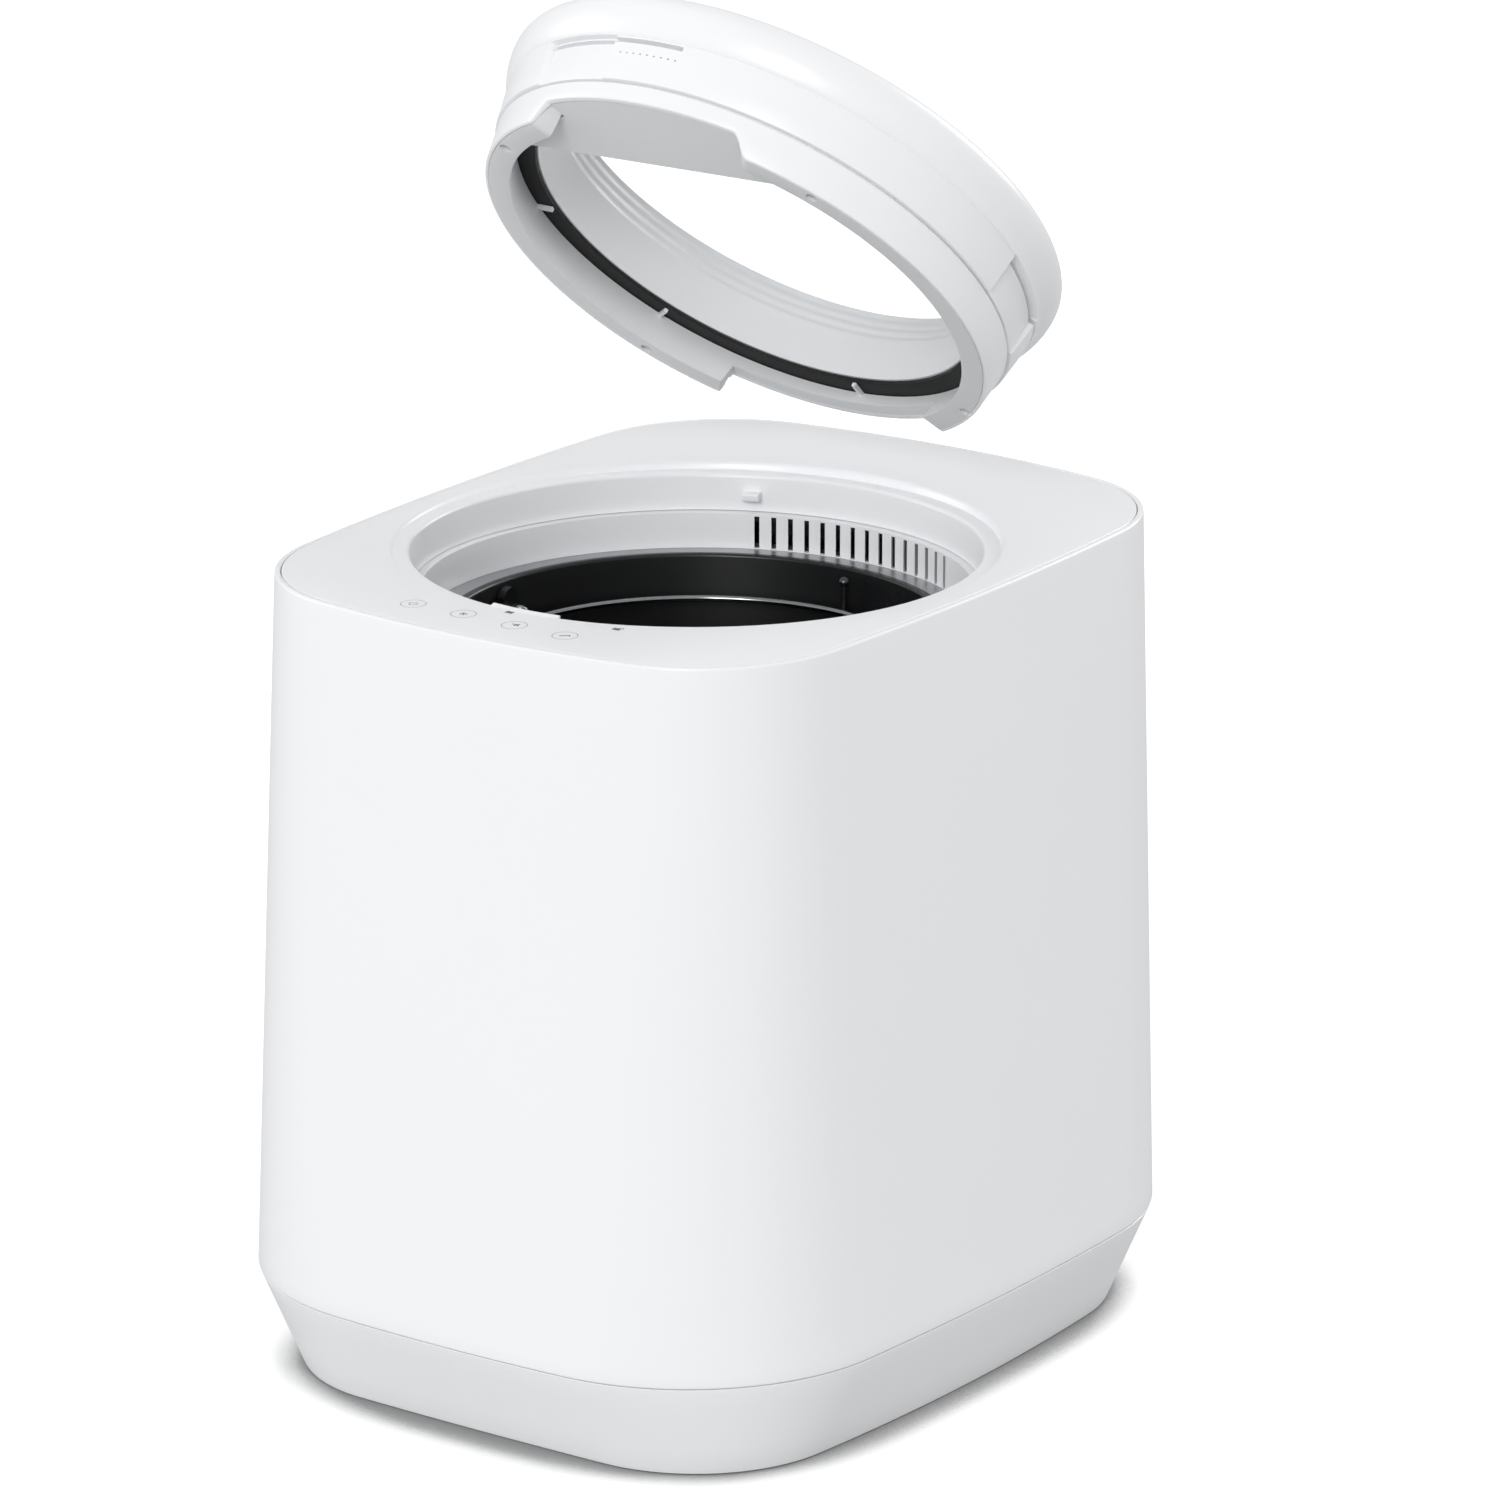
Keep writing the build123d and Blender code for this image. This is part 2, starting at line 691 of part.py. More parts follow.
with BuildPart() as carbon_core:
    with Locations((0, (filter_front + filter_rear) / 2, (filter_low + filter_high) / 2)):
        Box(
            2 * filter_half - 4 - 2 * gap,
            filter_rear - filter_front - 4 - 2 * gap,
            filter_high - filter_low - 10.0,
        )

with BuildPart() as filter_cover:
    with BuildSketch(Plane.XY.offset(seam_height)):
        add(body_outline(seam_size))
    with BuildSketch(top_plane):
        add(body_outline(top_size))
    loft(ruled=True)
    with Locations((0, filter_rear + gap, (cover_low + cover_high) / 2)):
        Box(
            2 * cover_half,
            50,
            cover_high - cover_low,
            align=(Align.CENTER, Align.MIN, Align.CENTER),
            mode=Mode.INTERSECT,
        )
    cover_back = rear_face(cover_high) - wall - 1.6
    with Locations((0, filter_rear, (cover_low + cover_high) / 2)):
        Box(
            2 * cover_half - 5.0,
            cover_back - filter_rear,
            cover_high - cover_low - 5.0,
            align=(Align.CENTER, Align.MIN, Align.CENTER),
            mode=Mode.SUBTRACT,
        )
    for side in (-1, 1):
        with Locations((side * (filter_half - 5.0), filter_rear + gap, (cover_low + cover_high) / 2)):
            Box(
                4.0,
                cover_back - filter_rear + 0.5,
                cover_high - cover_low - 4.0,
                align=(Align.CENTER, Align.MIN, Align.CENTER),
            )
    with BuildSketch(Plane.XZ.offset(-filter_rear)):
        with Locations((0, (cover_low + cover_high) / 2)):
            with GridLocations(0, 9.0, 1, 6):
                SlotOverall(62.0, 4.6)
    extrude(amount=-50, mode=Mode.SUBTRACT)

# Fan above the filter bay and the duct that feeds it from the slots
rotor_radius = fan_half - 3.2
hub_fan = 9.0
blade_count = 7

with BuildPart() as fan_housing:
    with BuildSketch(Plane((0, fan_y, bay_top))):
        RectangleRounded(2 * fan_half, 2 * fan_half, 3.0)
        Circle(fan_half - 2.0, mode=Mode.SUBTRACT)
    extrude(amount=fan_height)
    with BuildSketch(Plane((0, fan_y, bay_top))):
        Circle(hub_fan)
        with PolarLocations(0, 2, start_angle=45, angular_range=180):
            Rectangle(2 * fan_half - 2.0, 3.0)
    extrude(amount=2.0)

with BuildPart() as fan_rotor:
    with BuildSketch(Plane((0, fan_y, bay_top + 2.4))):
        Circle(hub_fan)
    extrude(amount=fan_height - 3.4)
    for index in range(blade_count):
        turn = radians(360 * index / blade_count)
        outward = Vector(cos(turn), sin(turn), 0)
        blade_plane = Plane(
            origin=Vector(0, fan_y, bay_top + 8.2) + outward * (hub_fan - 1.0),
            x_dir=(-sin(turn), cos(turn), 0),
            z_dir=outward,
        )
        with BuildSketch(blade_plane):
            Rectangle(10.0, 1.4, rotation=40)
        extrude(amount=rotor_radius - hub_fan + 0.6)

duct_half = fan_half - 3.0
duct_depth = fan_half - 7.0
duct_wall = 1.6
duct_low = bay_top + fan_height
plenum_inner = liner_radius + 2.3
plenum_outer = plenum_inner + 18.0
plenum_low = ledge_z + gap

with BuildPart() as exhaust_duct:
    with BuildSketch(Plane((0, fan_y, duct_low))):
        Rectangle(2 * duct_half, 2 * duct_depth)
    extrude(amount=duct_top - duct_low)
    with BuildSketch(level(plenum_low)):
        add(sector(plenum_inner, plenum_outer, 57, 123))
        with Locations((0, plenum_inner + 10.0 + (fan_y - mouth_y - plenum_inner - 10.0) / 2)):
            Rectangle(2 * duct_half, fan_y - mouth_y - plenum_inner - 10.0)
    extrude(amount=duct_top - plenum_low)
    with BuildSketch(Plane((0, fan_y, duct_low))):
        Rectangle(2 * (duct_half - duct_wall), 2 * (duct_depth - duct_wall))
    extrude(amount=duct_top - duct_wall - duct_low, mode=Mode.SUBTRACT)
    with BuildSketch(level(plenum_low + duct_wall)):
        add(sector(plenum_inner - 1.0, plenum_outer - duct_wall, 58, 122))
        with Locations((0, plenum_inner + 8.0 + (fan_y - mouth_y - plenum_inner - 8.0) / 2)):
            Rectangle(2 * (duct_half - duct_wall), fan_y - mouth_y - plenum_inner - 8.0)
    extrude(amount=duct_top - plenum_low - 2 * duct_wall, mode=Mode.SUBTRACT)

# Power inlet at the rear, three flat pins
inlet_rear = rear_face(inlet_z) - 2.6

with BuildPart() as power_inlet:
    with BuildSketch(Plane.XZ.offset(-inlet_rear)):
        with Locations((inlet_x, inlet_z)):
            RectangleRounded(2 * inlet_half_width, 2 * inlet_half_height, 3.0)
    extrude(amount=26.0)
    with BuildSketch(Plane.XZ.offset(-inlet_rear)):
        with Locations((inlet_x, inlet_z)):
            RectangleRounded(2 * inlet_half_width - 6.0, 2 * inlet_half_height - 6.0, 2.0)
    extrude(amount=18.0, mode=Mode.SUBTRACT)

with BuildPart() as inlet_pins:
    with BuildSketch(Plane.XZ.offset(-inlet_rear + 18.0)):
        with Locations((inlet_x - 6.0, inlet_z - 2.0), (inlet_x, inlet_z + 3.0), (inlet_x + 6.0, inlet_z - 2.0)):
            Rectangle(2.0, 4.0)
    extrude(amount=-12.0)

# Electronics: mains board in the tray, touch board under the deck, reed switch by the neck
with BuildPart() as main_board:
    with BuildSketch(Plane((0, board_y, board_low))):
        RectangleRounded(112.0, 70.0, 3.0)
    extrude(amount=1.6)

board_top = board_low + 1.6

with BuildPart() as board_parts:
    with Locations((-34, board_y + 7, board_top)):
        Box(32, 28, 24, align=(Align.CENTER, Align.CENTER, Align.MIN))
    with Locations((-4, board_y + 15, board_top), (-4, board_y - 7, board_top)):
        Cylinder(8, 22, align=(Align.CENTER, Align.CENTER, Align.MIN))
    with Locations((22, board_y + 11, board_top), (22, board_y - 11, board_top)):
        Box(19, 15, 15, align=(Align.CENTER, Align.CENTER, Align.MIN))
    with Locations((44, board_y + 1, board_top)):
        Box(8, 40, 10, align=(Align.CENTER, Align.CENTER, Align.MIN))

touch_low = top_plane.offset(-deck_thick - gap)

with BuildPart() as touch_board:
    with BuildSketch(touch_low):
        with Locations((-4, -body_depth / 2 + 36.8 - top_shift)):
            RectangleRounded(96.0, 11.0, 1.5)
    extrude(amount=-1.6)

with BuildPart() as lid_sensor:
    with BuildSketch(level(dish_z - 14.0)):
        with PolarLocations(neck_outer + 3.4, 1, start_angle=-93):
            Rectangle(6.0, 18.0)
    extrude(amount=6.7)

# Lid: turned parts on the tilted lid axis, heights from the bottom of its skirt
lid_angle = radians(lid_tilt)
lid_centre = (0, mouth_y + lid_back, seat_z + gap + lid_rise)
lid_normal = Vector(0, sin(lid_angle), cos(lid_angle))
lid_plane = Plane(origin=lid_centre, x_dir=(1, 0, 0), z_dir=lid_normal)
lid_axis = Axis(lid_centre, lid_normal)
lid_section = Plane(origin=lid_centre, x_dir=(1, 0, 0), z_dir=lid_plane.y_dir * -1)
skirt_low = mouth_radius - 4.6
skirt_high = mouth_radius - 2.3
step_h = 16.2
band_h = 34.6
crown_radius = mouth_radius + 6.1
window_radius = mouth_radius - 25.2
rim_outer = skirt_low - 1.9
notch_start = -115.0
notch_end = -63.0
notch_h = 8.3
rear_start = 60.0
rear_end = 120.0
rear_h = 10.0
lid_screw_radius = 2.5

with BuildPart() as lid_shell:
    with BuildSketch(lid_section):
        with BuildLine():
            Polyline(
                (skirt_low - 1.6, 0),
                (skirt_low, 0),
                (skirt_high, step_h),
                (skirt_high + 1.1, step_h),
                (crown_radius - 4.1, band_h),
                (crown_radius - 3.1, band_h + 1.0),
            )
            ThreePointArc(
                (crown_radius - 3.1, band_h + 1.0),
                (crown_radius - 0.8, band_h + 6.4),
                (crown_radius, band_h + 12.0),
            )
            ThreePointArc(
                (crown_radius, band_h + 12.0),
                (crown_radius - 1.9, band_h + 17.4),
                (crown_radius - 7.2, band_h + 20.0),
            )
            Polyline(
                (crown_radius - 7.2, band_h + 20.0),
                (window_radius + 2.3, band_h + 18.0),
                (window_radius + 2.3, band_h + 13.7),
                (window_radius, band_h + 13.7),
                (window_radius, band_h + 11.4),
                (mouth_radius - 3.1, band_h + 11.4),
                (mouth_radius - 3.6, band_h + 9.4),
                (skirt_low - 1.6, band_h - 0.6),
                (skirt_low - 1.6, 0),
            )
        make_face()
    revolve(axis=lid_axis)
    for start in (2, 122, 242):
        with BuildSketch(lid_plane.offset(step_h)):
            add(sector(mouth_radius - 3.1, crown_radius + 5.0, start, start + 20))
        extrude(amount=band_h - 0.6 - step_h, mode=Mode.SUBTRACT)
        with BuildSketch(lid_plane.offset(band_h - 3.0)):
            add(sector(mouth_radius - 1.6, crown_radius + 5.0, start + 19, start + 36))
        extrude(amount=2.4, mode=Mode.SUBTRACT)
    with BuildSketch(lid_plane):
        add(sector(rim_outer - 1.0, skirt_high + 3.0, notch_start, notch_end))
    extrude(amount=notch_h, mode=Mode.SUBTRACT)
    with BuildSketch(lid_plane):
        add(sector(rim_outer - 1.0, skirt_high + 3.0, rear_start, rear_end))
    extrude(amount=rear_h, mode=Mode.SUBTRACT)
    with BuildSketch(lid_plane.offset(catch_low - seat_z - gap - 0.5)):
        add(sector(rim_outer - 1.0, skirt_high + 3.0, rear_end - 0.5, rear_end + 16))
    extrude(amount=catch_high - catch_low + 1.0, mode=Mode.SUBTRACT)

# Rim ring inside the skirt, held by four screws from below
rim_top = step_h - 0.3
rim_inner = mouth_radius - 15.6
rim_screws = (-45, 41, 139, 225)
screw_ring = rim_outer - 2.9

with BuildPart() as lid_rim:
    with BuildSketch(lid_section):
        add(ring_section((rim_inner, 0), (rim_outer, 0), (rim_outer, rim_top), (rim_inner + 4.8, rim_top)))
    revolve(axis=lid_axis)
    with BuildSketch(lid_plane):
        add(sector(rim_inner - 3.0, rim_outer + 3.0, notch_start, notch_end))
    extrude(amount=notch_h, mode=Mode.SUBTRACT)
    with BuildSketch(lid_plane):
        add(sector(rim_inner - 3.0, rim_outer + 3.0, rear_start, rear_end))
    extrude(amount=rear_h, mode=Mode.SUBTRACT)
    for angle in rim_screws:
        with BuildSketch(lid_plane):
            with PolarLocations(screw_ring, 1, start_angle=angle):
                Circle(lid_screw_radius)
        extrude(amount=3.0, mode=Mode.SUBTRACT)
        with BuildSketch(lid_plane):
            with PolarLocations(screw_ring, 1, start_angle=angle):
                Circle(1.35)
        extrude(amount=12.5, mode=Mode.SUBTRACT)

with BuildPart() as lid_screws:
    for angle in rim_screws:
        with BuildSketch(lid_plane.offset(1.2)):
            with PolarLocations(screw_ring, 1, start_angle=angle):
                Circle(lid_screw_radius - gap)
        extrude(amount=1.6)
        with BuildSketch(lid_plane.offset(2.0)):
            with PolarLocations(screw_ring, 1, start_angle=angle):
                Circle(1.25)
        extrude(amount=10.0)

# Black seal ring, stays still while the lid turns round it
collar_radius = mouth_radius - 19.6
collar_h = 18.1

with BuildPart() as lid_seal:
    with BuildSketch(lid_section):
        add(
            ring_section(
                (collar_radius + 0.6, rim_top + 0.4),
                (skirt_low - 2.8, rim_top + 0.4),
                (skirt_low - 2.8, rim_top + 3.9),
                (collar_radius + 2.5, rim_top + 3.9),
                (collar_radius + 2.5, collar_h - 0.3),
                (collar_radius + 0.6, collar_h - 0.3),
            )
        )
    revolve(axis=lid_axis)

# Collar under the window, stepped near its upper end
collar_top = band_h + 11.4

with BuildPart() as lid_collar:
    with BuildSketch(lid_section):
        add(
            ring_section(
                (collar_radius, collar_h),
                (collar_radius + 2.0, collar_h),
                (window_radius + 5.0, band_h),
                (window_radius + 4.6, collar_top - 2.0),
                (window_radius + 15.0, collar_top - 2.0),
                (window_radius + 15.0, collar_top),
                (window_radius, collar_top),
                (window_radius + 0.7, collar_top - 3.2),
                (window_radius + 1.5, collar_top - 3.2),
                (window_radius + 1.5, collar_top - 6.6),
                (window_radius + 2.3, collar_top - 6.6),
                (window_radius + 2.3, collar_top - 10.0),
                (window_radius + 3.1, collar_top - 10.0),
            )
        )
    revolve(axis=lid_axis)

with BuildPart() as lid_window:
    with BuildSketch(lid_plane.offset(band_h + 13.7)):
        Circle(window_radius + 2.0)
    extrude(amount=3.0)

# Clamp ring that holds the window down
with BuildPart() as window_ring:
    with BuildSketch(lid_section):
        add(
            ring_section(
                (window_radius - 0.8, band_h + 16.7),
                (window_radius + 2.0, band_h + 16.7),
                (window_radius + 2.0, band_h + 18.3),
                (window_radius - 0.4, band_h + 18.3),
            )
        )
    revolve(axis=lid_axis)

# Baffle plate behind the front notch
baffle_low = 5.9
chord = mouth_radius - 40.6

with BuildPart() as lid_baffle:
    with BuildSketch(lid_plane.offset(baffle_low)):
        Circle(rim_inner + 1.2)
        with Locations((0, -chord)):
            Rectangle(4 * rim_inner, 4 * rim_inner, align=(Align.CENTER, Align.MIN), mode=Mode.SUBTRACT)
        add(sector(rim_inner - 4.0, skirt_low + 0.4, notch_start + 0.6, notch_end - 0.6))
    extrude(amount=notch_h - gap - baffle_low)

pieces = {
    "base_tray": base_tray,
    "feet": feet,
    "base_screws": base_screws,
    "outer_shell": outer_shell,
    "deck": deck,
    "lid_catch": lid_catch,
    "chamber_liner": chamber_liner,
    "heating_pot": heating_pot,
    "heater_plate": heater_plate,
    "insulation": insulation,
    "carrier_plate": carrier_plate,
    "bucket": bucket,
    "bucket_bushing": bucket_bushing,
    "bucket_ears": bucket_ears,
    "bucket_handle": bucket_handle,
    "crushing_post": crushing_post,
    "stirrer": stirrer,
    "drive_shaft": drive_shaft,
    "drive_dog": drive_dog,
    "output_gear": output_gear,
    "idler_gear": idler_gear,
    "idler_axle": idler_axle,
    "motor_pinion": motor_pinion,
    "motor_shaft": motor_shaft,
    "motor_can": motor_can,
    "gearbox_housing": gearbox_housing,
    "gearbox_cover": gearbox_cover,
    "shaft_bearing": shaft_bearing,
    "filter_bay": filter_bay,
    "filter_cassette": filter_cassette,
    "carbon_core": carbon_core,
    "filter_cover": filter_cover,
    "fan_housing": fan_housing,
    "fan_rotor": fan_rotor,
    "exhaust_duct": exhaust_duct,
    "power_inlet": power_inlet,
    "inlet_pins": inlet_pins,
    "main_board": main_board,
    "board_parts": board_parts,
    "touch_board": touch_board,
    "lid_sensor": lid_sensor,
    "lid_shell": lid_shell,
    "lid_rim": lid_rim,
    "lid_screws": lid_screws,
    "lid_seal": lid_seal,
    "lid_collar": lid_collar,
    "lid_window": lid_window,
    "window_ring": window_ring,
    "lid_baffle": lid_baffle,
}

for name, piece in pieces.items():
    piece.part.label = name
    export_step(piece.part, f"parts/{name}.step")
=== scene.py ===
import bmesh
import bpy
from math import atan2, cos, hypot, pi, radians, sin, sqrt, tan
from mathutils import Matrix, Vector


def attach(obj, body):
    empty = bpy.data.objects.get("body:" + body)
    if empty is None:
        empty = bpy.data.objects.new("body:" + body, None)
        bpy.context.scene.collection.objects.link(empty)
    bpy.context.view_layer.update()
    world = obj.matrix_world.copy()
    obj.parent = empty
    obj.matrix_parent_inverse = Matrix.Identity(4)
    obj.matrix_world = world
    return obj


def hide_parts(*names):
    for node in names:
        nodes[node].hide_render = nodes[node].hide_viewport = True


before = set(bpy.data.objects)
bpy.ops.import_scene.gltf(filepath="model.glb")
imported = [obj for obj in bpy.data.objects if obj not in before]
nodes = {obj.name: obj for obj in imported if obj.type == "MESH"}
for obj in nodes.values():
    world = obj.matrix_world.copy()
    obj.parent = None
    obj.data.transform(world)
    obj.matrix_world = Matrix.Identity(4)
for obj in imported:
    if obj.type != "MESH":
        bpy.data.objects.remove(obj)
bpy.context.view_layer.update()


# Helpers: colour, shader nodes, meshes in millimetres, turned and lofted skins, cuts.
def colour(hexcode):
    """sRGB hex code as linear RGBA."""
    values = [int(hexcode[i:i + 2], 16) / 255 for i in (1, 3, 5)]
    return tuple(v / 12.92 if v <= 0.04045 else ((v + 0.055) / 1.055) ** 2.4 for v in values) + (1.0,)


def add_node(tree, kind, **inputs):
    """Adds a shader node and sets its sockets by name; a value that is a socket is linked."""
    node = tree.nodes.new(kind)
    for name, value in inputs.items():
        socket = node.inputs[name.replace("_", " ")]
        if isinstance(value, bpy.types.NodeSocket):
            tree.links.new(value, socket)
        else:
            socket.default_value = value
    return node


def new_material(name):
    """Empty material with its node tree and its main shader."""
    material = bpy.data.materials.new(name)
    material.use_nodes = True
    tree = material.node_tree
    return material, tree, tree.nodes["Principled BSDF"]


def soften(mesh, angle=32):
    """Smooth shading that keeps every edge sharper than the angle."""
    for face in mesh.polygons:
        face.use_smooth = True
    mesh.set_sharp_from_angle(angle=radians(angle))


def solid(name, points, faces, material, angle=32):
    """Mesh object from points in millimetres."""
    mesh = bpy.data.meshes.new(name)
    mesh.from_pydata([(x / 1000, y / 1000, z / 1000) for x, y, z in points], [], faces)
    work = bmesh.new()
    work.from_mesh(mesh)
    bmesh.ops.remove_doubles(work, verts=work.verts, dist=1e-7)
    bmesh.ops.recalc_face_normals(work, faces=work.faces)
    work.to_mesh(mesh)
    work.free()
    mesh.materials.append(material)
    soften(mesh, angle)
    made = bpy.data.objects.new(name, mesh)
    bpy.context.scene.collection.objects.link(made)
    return made


def skin(rings, closed=True):
    """Points and faces between rings of equal count, each ring closed on itself."""
    count = len(rings[0])
    points = [point for ring in rings for point in ring]
    faces = []
    for k in range(len(rings) if closed else len(rings) - 1):
        low, high = k * count, (k + 1) % len(rings) * count
        for i in range(count):
            j = (i + 1) % count
            faces.append((low + i, low + j, high + j, high + i))
    return points, faces


def capped(rings):
    """Points and faces of a run of rings, closed by a face at either end."""
    points, faces = skin(rings, closed=False)
    count = len(rings[0])
    return points, faces + [tuple(range(count)), tuple(range(len(points) - count, len(points)))]


def section(*corners, steps=4):
    """Closed section from (radius, height, rounding) corners."""
    path = []
    for k, (x, y, rounding) in enumerate(corners):
        here = Vector((x, y))
        back = Vector(corners[k - 1][:2]) - here
        ahead = Vector(corners[(k + 1) % len(corners)][:2]) - here
        if rounding == 0 or back.length < 1e-6 or ahead.length < 1e-6:
            path.append((x, y))
            continue
        half = back.angle(ahead) / 2
        reach = min(rounding / tan(half), back.length * 0.49, ahead.length * 0.49)
        radius = reach * tan(half)
        centre = here + (back.normalized() + ahead.normalized()).normalized() * (radius / sin(half))
        first = here + back.normalized() * reach - centre
        last = here + ahead.normalized() * reach - centre
        for step in range(steps + 1):
            mixed = (first * (1 - step / steps) + last * (step / steps)).normalized() * radius
            path.append(tuple(centre + mixed))
    return path


def around(angles, profile, place):
    """Rings of a turned shape: profile(angle) gives radius and height pairs, place maps them."""
    sides = [profile(angle) for angle in angles]
    rings = []
    for k in range(len(sides[0])):
        rings.append([
            place(side[k][0] * cos(radians(a)), side[k][0] * sin(radians(a)), side[k][1])
            for a, side in zip(angles, sides)
        ])
    return rings


def turned(name, shape, place, material, steps, angle=32):
    """Solid with the given section, turned all the way round an axis."""
    angles = [360 / steps * i for i in range(steps)]
    return solid(name, *skin(around(angles, lambda a: shape, place)), material, angle)


def curved(name, shape, start, end, steps, place, material):
    """Solid with the given section, swept between two angles and closed at both ends."""
    rings = around([start + (end - start) * i / steps for i in range(steps + 1)], lambda a: shape, place)
    count = steps + 1
    points = [point for ring in rings for point in ring]
    faces = []
    for k in range(len(rings)):
        low, high = k * count, (k + 1) % len(rings) * count
        faces += [(low + i, low + i + 1, high + i + 1, high + i) for i in range(steps)]
    faces += [tuple(k * count + i for k in range(len(rings))) for i in (0, steps)]
    return solid(name, points, faces, material)


def round_ring(radius, height, place, x=0.0, y=0.0, steps=32):
    """Round ring of points about (x, y)."""
    turns = [2 * pi * i / steps for i in range(steps)]
    return [place(x + radius * cos(a), y + radius * sin(a), height) for a in turns]


def cutter(radius, low, high, place, x, y, steps=32):
    """Plain round tool, to cut with or to join on."""
    return solid("tool", *capped([round_ring(radius, h, place, x, y, steps) for h in (low, high)]), None)


def block(low, high):
    """Plain box-shaped cutting tool."""
    (x0, y0, z0), (x1, y1, z1) = low, high
    corners = ((x0, y0), (x1, y0), (x1, y1), (x0, y1))
    return solid("tool", *capped([[(x, y, z) for x, y in corners] for z in (z0, z1)]), None)


def prism(corners, low, high, angle, place):
    """Points and faces of a prism at an angle round an axis; corners are (outwards, sideways)."""
    a = radians(angle)
    return capped([
        [place(out * cos(a) - side * sin(a), out * sin(a) + side * cos(a), h) for out, side in corners]
        for h in (low, high)
    ])


def combine(target, tools, operation="DIFFERENCE"):
    """Cuts the tools out of the target, or joins them to it."""
    for tool in tools:
        change = target.modifiers.new("change", "BOOLEAN")
        change.operation, change.solver, change.object = operation, "EXACT", tool
    view = bpy.context.evaluated_depsgraph_get()
    mesh = bpy.data.meshes.new_from_object(target.evaluated_get(view))
    target.modifiers.clear()
    target.data = mesh
    for tool in tools:
        bpy.data.objects.remove(tool)
    soften(mesh)


def ease(t):
    """Smooth step from 0 to 1, level before and after."""
    t = max(0.0, min(1.0, t))
    return t * t * (3 - 2 * t)


def plain(x, y, z):
    return (x, y, z)


mouth_forward = 8.4


def mouth(x, y, z):
    """Place measured from the mouth axis, which stands in front of the body's centre."""
    return (x, y - mouth_forward, z)


# Camera: long lens a little above the deck, front face on the left, right side on the right.
camera = bpy.data.objects.new("camera", bpy.data.cameras.new("camera"))
bpy.context.scene.collection.objects.link(camera)
aim = Vector((0.0069, 0.018, 0.2393))
camera.location = (1.8824, -2.5795, 1.2067)
camera.rotation_mode = "QUATERNION"
camera.rotation_quaternion = (aim - camera.location).to_track_quat("-Z", "Y")
camera.data.lens = 200.6
camera.data.sensor_width = 36
camera.data.clip_start = 0.1
camera.data.clip_end = 30
bpy.context.scene.camera = camera


def plastic(name, base, rough, grain=0.02, bump=0.00002):
    """Moulded plastic: faint change of shade and of gloss, very fine surface grain."""
    material, tree, shader = new_material(name)
    place = add_node(tree, "ShaderNodeTexCoord").outputs["Object"]
    cloud = add_node(tree, "ShaderNodeTexNoise", Vector=place, Scale=9.0, Detail=3.0)
    mix = add_node(tree, "ShaderNodeMix")
    mix.data_type = "RGBA"
    dark_socket, light_socket, mixed_socket = mix.inputs[6], mix.inputs[7], mix.outputs[2]
    tree.links.new(cloud.outputs["Fac"], mix.inputs["Factor"])
    dark_socket.default_value = tuple(v * (1 - grain) for v in colour(base)[:3]) + (1.0,)
    light_socket.default_value = colour(base)
    tree.links.new(mixed_socket, shader.inputs["Base Color"])
    fine = add_node(tree, "ShaderNodeTexNoise", Vector=place, Scale=2600.0, Detail=2.0).outputs["Fac"]
    gloss = add_node(tree, "ShaderNodeMapRange", Value=fine, To_Min=rough - 0.04, To_Max=rough + 0.04)
    tree.links.new(gloss.outputs["Result"], shader.inputs["Roughness"])
    bumps = add_node(tree, "ShaderNodeBump", Height=fine, Distance=bump, Strength=0.4)
    tree.links.new(bumps.outputs["Normal"], shader.inputs["Normal"])
    shader.inputs["IOR"].default_value = 1.49
    return material


def metal(name, base, rough, streak=(40.0, 40.0, 900.0)):
    """Drawn or turned metal: fine streaks in gloss and shade along the piece."""
    material, tree, shader = new_material(name)
    shader.inputs["Metallic"].default_value = 1.0
    place = add_node(tree, "ShaderNodeTexCoord").outputs["Object"]
    stretch = add_node(tree, "ShaderNodeMapping", Vector=place, Scale=streak).outputs["Vector"]
    lines = add_node(tree, "ShaderNodeTexNoise", Vector=stretch, Scale=4.0, Detail=4.0).outputs["Fac"]
    shade = add_node(tree, "ShaderNodeMapRange", Value=lines, To_Min=0.86, To_Max=1.0)
    tint = add_node(tree, "ShaderNodeVectorMath", Vector=colour(base)[:3])
    tint.operation = "SCALE"
    tree.links.new(shade.outputs["Result"], tint.inputs["Scale"])
    tree.links.new(tint.outputs["Vector"], shader.inputs["Base Color"])
    gloss = add_node(tree, "ShaderNodeMapRange", Value=lines, To_Min=rough - 0.06, To_Max=rough + 0.08)
    tree.links.new(gloss.outputs["Result"], shader.inputs["Roughness"])
    return material


def dress(material, *names):
    """Gives carried-over pieces their material and smooth shading."""
    for name in names:
        mesh = nodes[name].data
        mesh.materials.clear()
        mesh.materials.append(material)
        soften(mesh)


white_abs = plastic("white_abs", "#eeeff1", 0.3)


